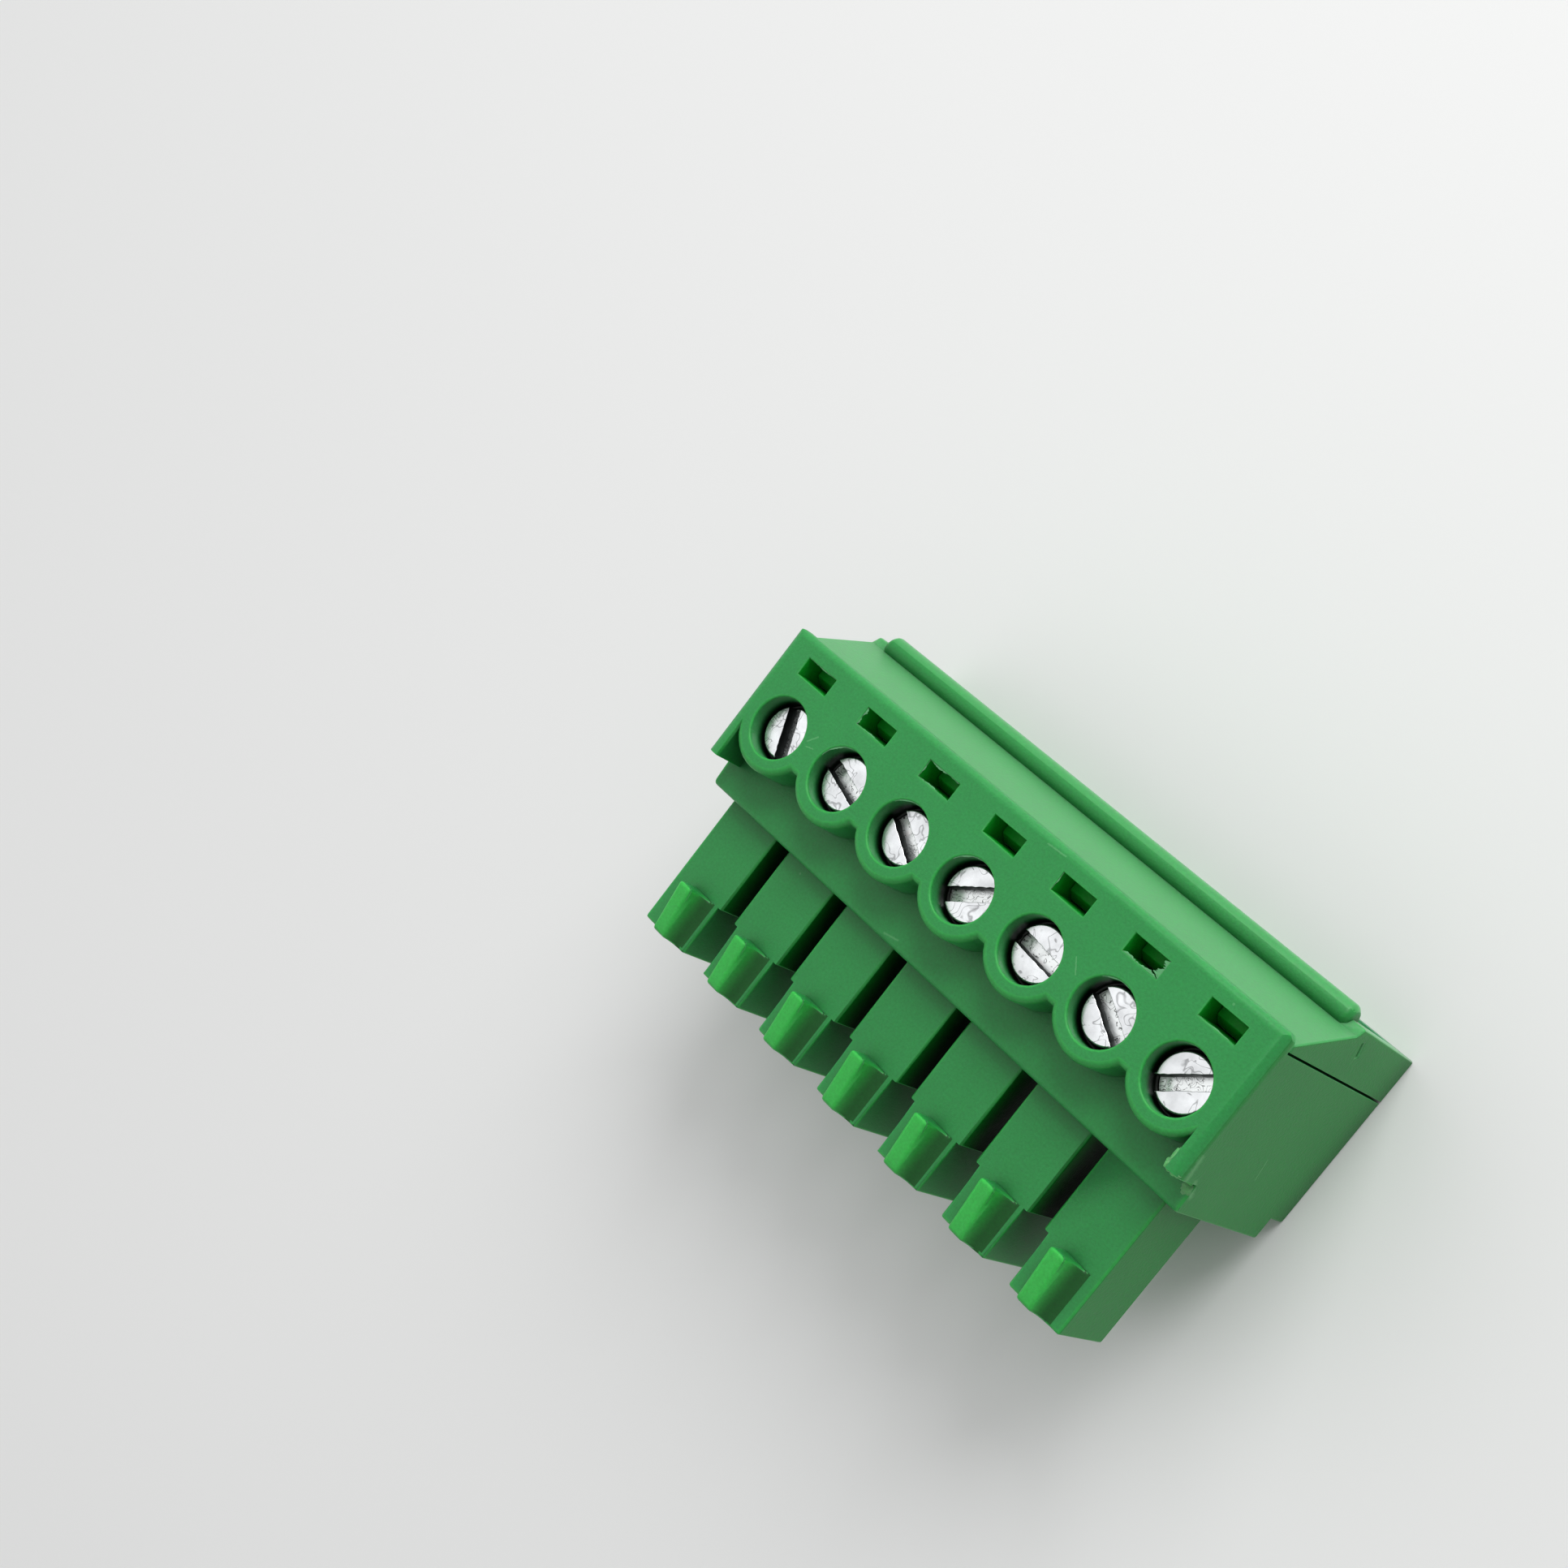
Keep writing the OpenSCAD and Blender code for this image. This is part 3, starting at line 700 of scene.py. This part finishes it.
# %% [markdown]
# ## Flash
# Where two parts of the mould meet inside a window or a well, a little nylon creeps into the
# joint. It leaves thin ragged fins, stretched until they turned pale. Noise on the rim's edge
# could hint at them, but only a shape of its own catches light and throws a shadow. So a fin is a
# ribbon along a row of stations, each a point on the rim with the way inward, and its free edge is
# wavy and ragged.

# %% A fin of flash
FIN_THICK = 0.05
FIN_ROOT = 0.03
FIN_DROOP = 0.015
LEAST_REACH = 0.008
END_SLOPE, WAVES, WAVE_SHIFT, RAGGED = 6, 9.0, 70, 0.35
RIM_SINK = 0.04
STEPS = 26
rim_z = top_z - RIM_SINK


def straight(start, end, inward):
    steps = [i / STEPS for i in range(STEPS + 1)]
    return [(Vector(start).lerp(Vector(end), share), Vector(inward)) for share in steps]


def arc(x, y, radius, first, last):
    stations = []
    for i in range(STEPS + 1):
        angle = math.radians(first + (last - first) * i / STEPS)
        out = Vector((math.cos(angle), math.sin(angle), 0))
        stations.append((Vector((x, y, rim_z)) + out * radius, -out))
    return stations


def ragged_reach(share, reach):
    ends = min(1.0, END_SLOPE * share, END_SLOPE * (1 - share))
    wave = 0.55 + 0.45 * math.sin(WAVES * share + WAVE_SHIFT * reach)
    return max(LEAST_REACH, reach * (wave + random.uniform(-RAGGED, RAGGED)) * ends)


def fin(name, stations, reach):
    corners, faces = [], []
    last = len(stations) - 1
    under = Vector((0, 0, FIN_THICK))
    for i, (base, inward) in enumerate(stations):
        out = inward * ragged_reach(i / last, reach)
        sunk = Vector((0, 0, random.uniform(0.0, FIN_DROOP)))
        root = base - inward * FIN_ROOT
        corners += [root, base + out - sunk, base + out * 0.7 - under, root - under]
    for i in range(last):
        a, b = 4 * i, 4 * i + 4
        for k in range(4):
            m = (k + 1) % 4
            faces.append((a + k, b + k, b + m, a + m))
    faces += [(3, 2, 1, 0), tuple(4 * last + k for k in range(4))]
    mesh = bpy.data.meshes.new(name)
    mesh.from_pydata([v * MM for v in corners], [], faces)
    mesh.shade_smooth()
    mesh.set_sharp_from_angle(angle=math.radians(60))
    return placed(name, mesh, "block", whitened_green)


print("a fin has", 4 * (STEPS + 1), "corners")

# %% [markdown]
# ## Where the flash is
# Real flash is uneven: some windows have none, others are ragged on three sides. It could be
# spread by chance over all rims. A short list keeps it where this block has it: pole, side and
# reach of each fin of the windows, and pole, first and last angle and reach of each fin of the
# wells.

# %% Flash on windows and wells
random.seed(11)
FINS = [(2, "left", 0.10), (2, "front", 0.05), (3, "front", 0.06), (3, "back", 0.07),
        (3, "left", 0.05), (6, "right", 0.26), (6, "front", 0.10), (5, "left", 0.04),
        (1, "back", 0.04), (7, "front", 0.04)]
WELL_FINS = [(2, 100, 165, 0.05), (3, 90, 140, 0.04), (4, 95, 150, 0.04), (6, 80, 130, 0.03)]
y0, y1 = window_y - WINDOW_HALF_Y, window_y + WINDOW_HALF_Y
for pole, side, reach in FINS:
    x0, x1 = pole_x[pole] - WINDOW_HALF_X, pole_x[pole] + WINDOW_HALF_X
    runs = {"left": ((x0, y0, rim_z), (x0, y1, rim_z), (1, 0, 0)),
            "right": ((x1, y0, rim_z), (x1, y1, rim_z), (-1, 0, 0)),
            "front": ((x0, y0, rim_z), (x1, y0, rim_z), (0, 1, 0)),
            "back": ((x0, y1, rim_z), (x1, y1, rim_z), (0, -1, 0))}
    fin(f"window_flash_{pole}_{side}", straight(*runs[side]), reach)
for pole, first, last, reach in WELL_FINS:
    fin(f"well_flash_{pole}", arc(pole_x[pole], pole_y, WELL_RADIUS, first, last), reach)
print("fins:", len(FINS) + len(WELL_FINS))

# %% [markdown]
# ## Torn end
# One end wall was torn a little when the moulding left its tool: its tip is a row of soft nibs.
# They could be sculpted from the wall itself, but its faces are too large for such small dents. So
# a nib is a small ball, stretched, dented by two noises and sunk for the most part in the wall.
# Its list gives the middle and the half sizes, and no point of it leaves the part's own box.

# %% Nibs on the end wall
INSIDE = 0.002
COARSE_DENT, FINE_DENT = (0.3, 1.7), (0.25, 4.5)


def nib(name, place, size, seed):
    solid = bmesh.new()
    bmesh.ops.create_icosphere(solid, subdivisions=3, radius=1.0)
    for vertex in solid.verts:
        depth, tightness = COARSE_DENT
        dent = 1.0 + depth * noise.noise(vertex.co * tightness + Vector((seed, 0, 0)))
        depth, tightness = FINE_DENT
        dent += depth * noise.noise(vertex.co * tightness + Vector((0, seed, 0)))
        x, y, z = (place[k] + vertex.co[k] * size[k] * dent for k in range(3))
        vertex.co = Vector((min(x, half_w - INSIDE), y, min(z, top_z))) * MM
    mesh = bpy.data.meshes.new(name)
    solid.to_mesh(mesh)
    solid.free()
    mesh.shade_smooth()
    return placed(name, mesh, "block", torn_green)


NIBS = [((half_w - 0.62, wall_tip + 0.5, top_z - 0.13), (0.13, 0.4, 0.11)),
        ((half_w - 0.6, wall_tip + 0.2, top_z - 0.16), (0.2, 0.26, 0.13)),
        ((half_w - 0.36, wall_tip + 0.04, top_z - 0.3), (0.3, 0.12, 0.2)),
        ((half_w - 0.22, wall_tip + 0.02, top_z - 0.7), (0.2, 0.1, 0.26)),
        ((half_w - 0.5, wall_tip + 0.05, top_z - 1.2), (0.16, 0.12, 0.26)),
        ((half_w - 0.25, wall_tip - 0.02, top_z - 1.55), (0.22, 0.12, 0.2)),
        ((half_w - 0.24, wall_tip - 0.3, LEDGE_Z - 0.03), (0.24, 0.3, 0.07))]
for number, (place, size) in enumerate(NIBS, 1):
    nib(f"end_nib_{number}", place, size, 3.7 * number)
print("nibs:", len(NIBS))

# %% [markdown]
# ## Plating
# Plating is never even: it clouds a little, tools leave fine marks in two directions, and grease
# dries in thin dark squiggles. Each could be painted on a picture of one screw, but seven equal
# screws would give it away. The group takes clouds and marks from stretched noise, and a squiggle
# is the line along which a noise passes one level. Each metal chooses its colour and its share of
# them.

# %% Plating group
CLOUD_SIZE = 1100.0
MARK_STRETCHES = ((1.0, 0.08, 0.3), (0.1, 1.0, 0.3))
MARK_TURN = 0.6
SQUIGGLE_LEVEL, SQUIGGLE_WIDTH = 0.56, 0.035
PLATE_IN = [("Colour", "NodeSocketColor", (0.7, 0.7, 0.7, 1)),
            ("Roughness", "NodeSocketFloat", 0.2), ("Mark size", "NodeSocketFloat", 6000.0),
            ("Squiggle size", "NodeSocketFloat", 2600.0),
            ("Squiggle share", "NodeSocketFloat", 0.0)]
PLATE_OUT = [("Colour", "NodeSocketColor"), ("Roughness", "NodeSocketFloat"),
             ("Height", "NodeSocketFloat")]
plating, given, wanted = new_group("plating", PLATE_IN, PLATE_OUT)
where = object_place(plating)
cloud = noise_at(plating, where, CLOUD_SIZE, Detail=3.0, Roughness=0.55)
marks = []
for stretch in MARK_STRETCHES:
    turned = set_inputs(add_node(plating, "ShaderNodeMapping"), Scale=stretch,
                        Rotation=(0, 0, MARK_TURN))
    feed(plating, where, turned.inputs["Vector"])
    marks.append(noise_at(plating, turned.outputs[0], given["Mark size"], Detail=3.0,
                          Roughness=0.7))
swirl = noise_at(plating, where, given["Squiggle size"], Detail=1.0, Distortion=1.2)
off_level = plain_math(plating, "ABSOLUTE", plain_math(plating, "SUBTRACT", swirl, SQUIGGLE_LEVEL))
off_level = plain_math(plating, "DIVIDE", off_level, SQUIGGLE_WIDTH)
squiggle = plain_math(plating, "SUBTRACT", 1.0, off_level, clamp=True)
squiggle = plain_math(plating, "MULTIPLY", squiggle, given["Squiggle share"])
bright = plain_math(plating, "ADD", plain_math(plating, "MULTIPLY", cloud, 0.9), 0.45)
bright = plain_math(plating, "MULTIPLY", bright, plain_math(plating, "SUBTRACT", 1.0, squiggle))
dull = plain_math(plating, "ADD", plain_math(plating, "MULTIPLY", cloud, 1.2), 0.4)
feed(plating, scaled(plating, given["Colour"], bright), wanted["Colour"])
feed(plating, plain_math(plating, "MULTIPLY", dull, given["Roughness"]), wanted["Roughness"])
feed(plating, plain_math(plating, "MULTIPLY", *marks), wanted["Height"])
lay_out(plating)
print("group:", *described(plating))

# %% [markdown]
# ## The metals
# The screws are steel with bright zinc, the cages are nickelled brass and the contacts are tinned
# sheet. Their colours are read from the part's record, where each slot has one, so that the
# visible metal and the record agree. A screw's slot has two finishes of its own: its walls are
# painted nearly black, a painted shade for the shadow inside the narrow slot, and its floor was
# pressed bright and then caught the grease.

# %% The metals
PLATE_LIFT = 0.00001


def finish_of(slot):
    return [m for m in frame["record"]["materials"] if m["slot"] == slot][0]["base_color"]


def plated(name, colour, roughness, bump=0.3, squiggle_share=0.0, squiggle_size=2600.0):
    material = bpy.data.materials.new(name)
    material.use_nodes = True
    tree = material.node_tree
    shader = tree.nodes["Principled BSDF"]
    shader.inputs["Metallic"].default_value = 1.0
    made = use_group(tree, plating, Colour=(*colour, 1), Roughness=roughness,
                     Squiggle_share=squiggle_share, Squiggle_size=squiggle_size)
    feed(tree, made.outputs["Colour"], shader.inputs["Base Color"])
    feed(tree, made.outputs["Roughness"], shader.inputs["Roughness"])
    lift(tree, shader, made.outputs["Height"], bump, PLATE_LIFT)
    lay_out(tree)
    return material


zinc = plated("bright_zinc", finish_of("screw_steel"), 0.24, 0.35, squiggle_share=0.55,
              squiggle_size=1500.0)
slot_wall_shade = plated("slot_wall_shade", (0.03, 0.035, 0.035), 0.5)
slot_floor = plated("slot_floor", (0.95, 0.98, 0.98), 0.3, 0.9, squiggle_share=0.95,
                    squiggle_size=3400.0)
nickel = plated("nickelled_brass", finish_of("cage_brass"), 0.3)
tin = plated("tinned_sheet", finish_of("contact_tinned"), 0.35)
print("metals:", zinc.name, slot_wall_shade.name, slot_floor.name, nickel.name, tin.name)

# %% [markdown]
# ## Thread and head
# A clamp screw is cold-headed and its thread is rolled. A spiral could be swept round a rod and
# joined to it, but the joint is hard to keep closed. Here the whole screw is one skin turned about
# its axis, and the radius of the shank swings with the thread: at each height the groove turns
# round the shank, one pitch a turn. The groove fades out below the head, and the tip has a
# chamfer.

# %% Thread and head
THREAD_PITCH = 0.4
THREAD_DEPTH = 0.2
SHANK_RADIUS = 0.95
HEAD_HEIGHT = 1.2
CHAMFER = 0.3
ROW = 0.05
AROUND = 48
UNDER_HEAD = ((0.0, 0.05), (0.05, 0.0))
TOP_EDGE = ((0.09, 0.0), (0.03, 0.03), (0.0, 0.09))


def thread_radius(turn, height, low, high):
    phase = (height - low) / THREAD_PITCH - turn
    ridge = abs(2 * (phase - math.floor(phase)) - 1)
    fade = max(0.0, min(1.0, (high - height) / THREAD_PITCH))
    return SHANK_RADIUS - THREAD_DEPTH * fade * min(1.0, 1.3 * ridge)


def screw_rows(head, low, head_low, top):
    count = int((head_low - low - CHAMFER - ROW) / ROW)
    rows = [(low, SHANK_RADIUS - CHAMFER, False)]
    rows += [(low + CHAMFER + ROW * i, SHANK_RADIUS, True) for i in range(count)]
    rows.append((head_low - 0.03, SHANK_RADIUS, False))
    rows += [(head_low + up, head - less, False) for up, less in UNDER_HEAD]
    rows += [(top - down, head - less, False) for down, less in TOP_EDGE]
    return rows


def screw_skin(head, low, top):
    head_low = top - HEAD_HEIGHT
    skin = bmesh.new()
    rings = []
    for height, radius, threaded in screw_rows(head, low, head_low, top):
        ring = []
        for i in range(AROUND):
            turn = i / AROUND
            r = thread_radius(turn, height, low + CHAMFER, head_low - 0.1) if threaded else radius
            angle = 2 * math.pi * turn
            place = (r * math.cos(angle) * MM, r * math.sin(angle) * MM, height * MM)
            ring.append(skin.verts.new(place))
        rings.append(ring)
    for lower, upper in zip(rings, rings[1:]):
        for i in range(AROUND):
            j = (i + 1) % AROUND
            skin.faces.new((lower[i], lower[j], upper[j], upper[i]))
    skin.faces.new(rings[0][::-1])
    skin.faces.new(rings[-1])
    return skin


print("thread:", THREAD_DEPTH, "mm deep,", THREAD_PITCH, "mm a turn")

# %% [markdown]
# ## The slot
# The slot is pressed in last. It could be drawn into the head's faces, but a cut is simpler and
# always closed: a bar is taken away from the head with a Boolean. The bar's sides are slightly
# uneven, which leaves the burred edges that a pressed slot has. The slot's walls and floor then
# get the two finishes of their own, chosen by place and by the way that they look: painted shade,
# nearly black, on the walls, and a bright finish with grease on the floor.

# %% The slot
SLOT_HALF = 0.3
SLOT_REACH = 1.4
SLOT_DEPTH = 0.55
SLOT_TAPER = 0.94
BURR = 0.018
SLOT_STEPS = 18


def slot_bar(floor_z, top):
    bar = bmesh.new()
    rings = []
    for i in range(SLOT_STEPS + 1):
        u = -SLOT_REACH + 2 * SLOT_REACH * i / SLOT_STEPS
        left = SLOT_HALF + random.uniform(-BURR, BURR)
        right = SLOT_HALF + random.uniform(-BURR, BURR)
        low_z = floor_z + random.uniform(-0.01, 0.01)
        outline = ((u, -left * SLOT_TAPER, low_z), (u, right * SLOT_TAPER, low_z),
                   (u, right, top), (u, -left, top))
        rings.append([bar.verts.new(Vector(v) * MM) for v in outline])
    for a, b in zip(rings, rings[1:]):
        for k in range(4):
            m = (k + 1) % 4
            bar.faces.new((a[k], a[m], b[m], b[k]))
    bar.faces.new(rings[0][::-1])
    bar.faces.new(rings[-1])
    return bar


def loose(name, solid):
    mesh = bpy.data.meshes.new(name)
    bmesh.ops.recalc_face_normals(solid, faces=solid.faces)
    solid.to_mesh(mesh)
    solid.free()
    piece = bpy.data.objects.new(name, mesh)
    bpy.context.scene.collection.objects.link(piece)
    return piece


def cut_by(blank, tool):
    step = blank.modifiers.new("slot", "BOOLEAN")
    step.operation = "DIFFERENCE"
    step.solver = "EXACT"
    step.object = tool
    cut_mesh = final_mesh(blank)
    for piece in (blank, tool):
        bpy.data.objects.remove(piece)
    solid = bmesh.new()
    solid.from_mesh(cut_mesh)
    return solid


def finish_slot(mesh, top, turn):
    mesh.materials.append(slot_wall_shade)
    mesh.materials.append(slot_floor)
    across = Vector((-math.sin(turn), math.cos(turn), 0))
    for face in mesh.polygons:
        middle = face.center / MM
        if middle.z > top - SLOT_DEPTH - HAIR and abs(middle.dot(across)) < SLOT_HALF + HAIR:
            # Steep faces in the slot get painted shade, nearly black.
            if abs(face.normal.z) < 0.6:
                face.material_index = 1
            elif middle.z < top - SLOT_DEPTH / 2:
                face.material_index = 2


print("slot:", 2 * SLOT_HALF, "mm wide,", SLOT_DEPTH, "mm deep")

# %% [markdown]
# ## Clamp screws
# Seven screws were driven by hand, so each slot has stopped at its own angle. One screw could be
# copied seven times, but then all slots would be burred alike. Each is cut by a bar of its own,
# its slot's edges are broken by a fine bevel, and it rides on its own body, because it turns.

# %% Clamp screws
SLOT_TURNS = (-65, -16, -29, 34, -5, -29, 38)
BROKEN_EDGE = 0.03
BROKEN_DEPTH = 0.5
BAR_OVER = 0.2
for pole in poles:
    low, high = (Vector(corner_at) / MM for corner_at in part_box(f"clamp_screw_{pole}"))
    turn = math.radians(SLOT_TURNS[(pole - 1) % len(SLOT_TURNS)])
    blank = loose("blank", screw_skin((high.x - low.x) / 2, low.z, high.z))
    tool = loose("tool", slot_bar(high.z - SLOT_DEPTH, high.z + BAR_OVER))
    tool.rotation_euler.z = turn
    screw = rounded(f"slotted_screw_{pole}", cut_by(blank, tool),
                    lambda at: BROKEN_EDGE if at.z > high.z - BROKEN_DEPTH else 0.0,
                    f"screw_{pole}", zinc, segments=2, angle=35.0)
    finish_slot(screw.data, high.z, turn)
    screw.data.transform(Matrix.Translation((pole_x[pole] * MM, pole_y * MM, 0)))
    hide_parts(f"clamp_screw_{pole}")
print("screws:", len(poles), "vertices and triangles in one:", tally(screw))

# %% [markdown]
# ## Cages and contacts
# The cages are cut from a drawn brass section and the contacts are stamped and folded from sheet.
# They are seen only through the wire mouths, so the solids' own shapes are enough. Their edges are
# broken by a few hundredths of a millimetre, which gives each the bright line that cut metal has.
# A cage rides on its own body, because its screw lifts it, and a contact stays with the block.

# %% Cages and contacts
METAL_EDGE = 0.045
for pole in poles:
    for stem, body, slot, metal in (("clamp_cage", f"cage_{pole}", "cage_brass", nickel),
                                    ("contact", "block", "contact_tinned", tin)):
        piece = rounded(f"{stem}_metal_{pole}", clean_copy(f"{stem}_{pole}"),
                        lambda at: METAL_EDGE, body, metal, segments=2)
        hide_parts(f"{stem}_{pole}")
print("cages and contacts:", 2 * len(poles))

# %% [markdown]
# ## Floor
# The part lies on a pale matt table. A curved backdrop would hide a horizon, but from above there
# is none. So the table is one flat square, two metres wide, that belongs to the stage and not to
# the part.

# %% Floor
floor_mesh = bpy.data.meshes.new("floor")
floor_mesh.from_pydata([(-1, -1, 0), (1, -1, 0), (1, 1, 0), (-1, 1, 0)], [], [(0, 1, 2, 3)])
floor = bpy.data.objects.new("floor", floor_mesh)
bpy.context.scene.collection.objects.link(floor)
table = bpy.data.materials.new("pale_table")
table.use_nodes = True
set_inputs(table.node_tree.nodes["Principled BSDF"], Base_Color=(0.86, 0.865, 0.86, 1),
           Roughness=0.6)
floor_mesh.materials.append(table)
print("floor:", floor.name, "finish:", table.name)

# %% [markdown]
# ## Lamps
# One large soft lamp stands low on the wire side, so the cover and the beading are the brightest,
# and the fingers lie in the block's own shade. A second, wide and weak, is high at the left end:
# the flat screw heads mirror it. Small lamps would be easier to aim, but they would cut hard
# shadows and burn out the heads.

# %% Lamps
def soft_lamp(name, place, width, power):
    light = bpy.data.lights.new(name, "AREA")
    light.shape = "DISK"
    light.size = width
    light.energy = power
    holder = bpy.data.objects.new(name, light)
    holder.location = Vector(place)
    holder.rotation_mode = "QUATERNION"
    holder.rotation_quaternion = (-Vector(place)).to_track_quat("-Z", "Y")
    bpy.context.scene.collection.objects.link(holder)
    return holder


lamps = [soft_lamp("wire_side_lamp", (0.02, 0.26, 0.18), 0.24, 0.76),
         soft_lamp("end_lamp", (-0.19, -0.04, 0.256), 0.5, 0.16)]
print("lamps in watts:", {lamp.name: round(lamp.data.energy, 2) for lamp in lamps})

# %% [markdown]
# ## Sky
# The background is near white. Brighter lamps would give that too, but they would bleach the part.
# The sky asks what kind of ray looks at it instead: the camera, mirrors and glass see it near
# white, while all other light from it is weak, and a little stronger from the upper left of the
# wire side. Together with the lamps it adds up to one, so that a colour is shown about as it is
# written.

# %% Sky
WHITE_SEEN = 0.95
WHITE_MIRRORED = 0.92
BRIGHT_SIDE = (-0.55, 0.35, 0.75)
EVEN_LIGHT, SIDE_LIGHT = 0.36, 0.2
world = bpy.data.worlds.new("sky")
bpy.context.scene.world = world
world.use_nodes = True
sky = world.node_tree
ray = add_node(sky, "ShaderNodeLightPath").outputs
mirrored = plain_math(sky, "MULTIPLY", ray["Is Glossy Ray"], WHITE_MIRRORED)
seen = plain_math(sky, "MAXIMUM", ray["Is Camera Ray"], mirrored)
seen = plain_math(sky, "MAXIMUM", seen, ray["Is Transmission Ray"])
direction = add_node(sky, "ShaderNodeTexCoord").outputs["Generated"]
toward = vector_math(sky, "DOT_PRODUCT", direction, BRIGHT_SIDE, out="Value")
light = plain_math(sky, "ADD", plain_math(sky, "MULTIPLY", toward, SIDE_LIGHT), EVEN_LIGHT)
light = plain_math(sky, "MULTIPLY", plain_math(sky, "LESS_THAN", seen, 0.5), light)
strength = plain_math(sky, "ADD", plain_math(sky, "MULTIPLY", seen, WHITE_SEEN), light)
background = sky.nodes["Background"]
feed(sky, strength, background.inputs["Strength"])
set_inputs(background, Color=(1, 1, 1, 1))
lay_out(sky)
bpy.context.scene.view_settings.view_transform = "Standard"
print("sky:", world.name, "view:", bpy.context.scene.view_settings.view_transform)

# %% [markdown]
# ## Close
# The dressing must stay within the CAD's box, or the part would no longer fit where its record
# says. It could be measured by hand afterwards; this step only brings the scene up to date.

# %% Close
bpy.context.view_layer.update()
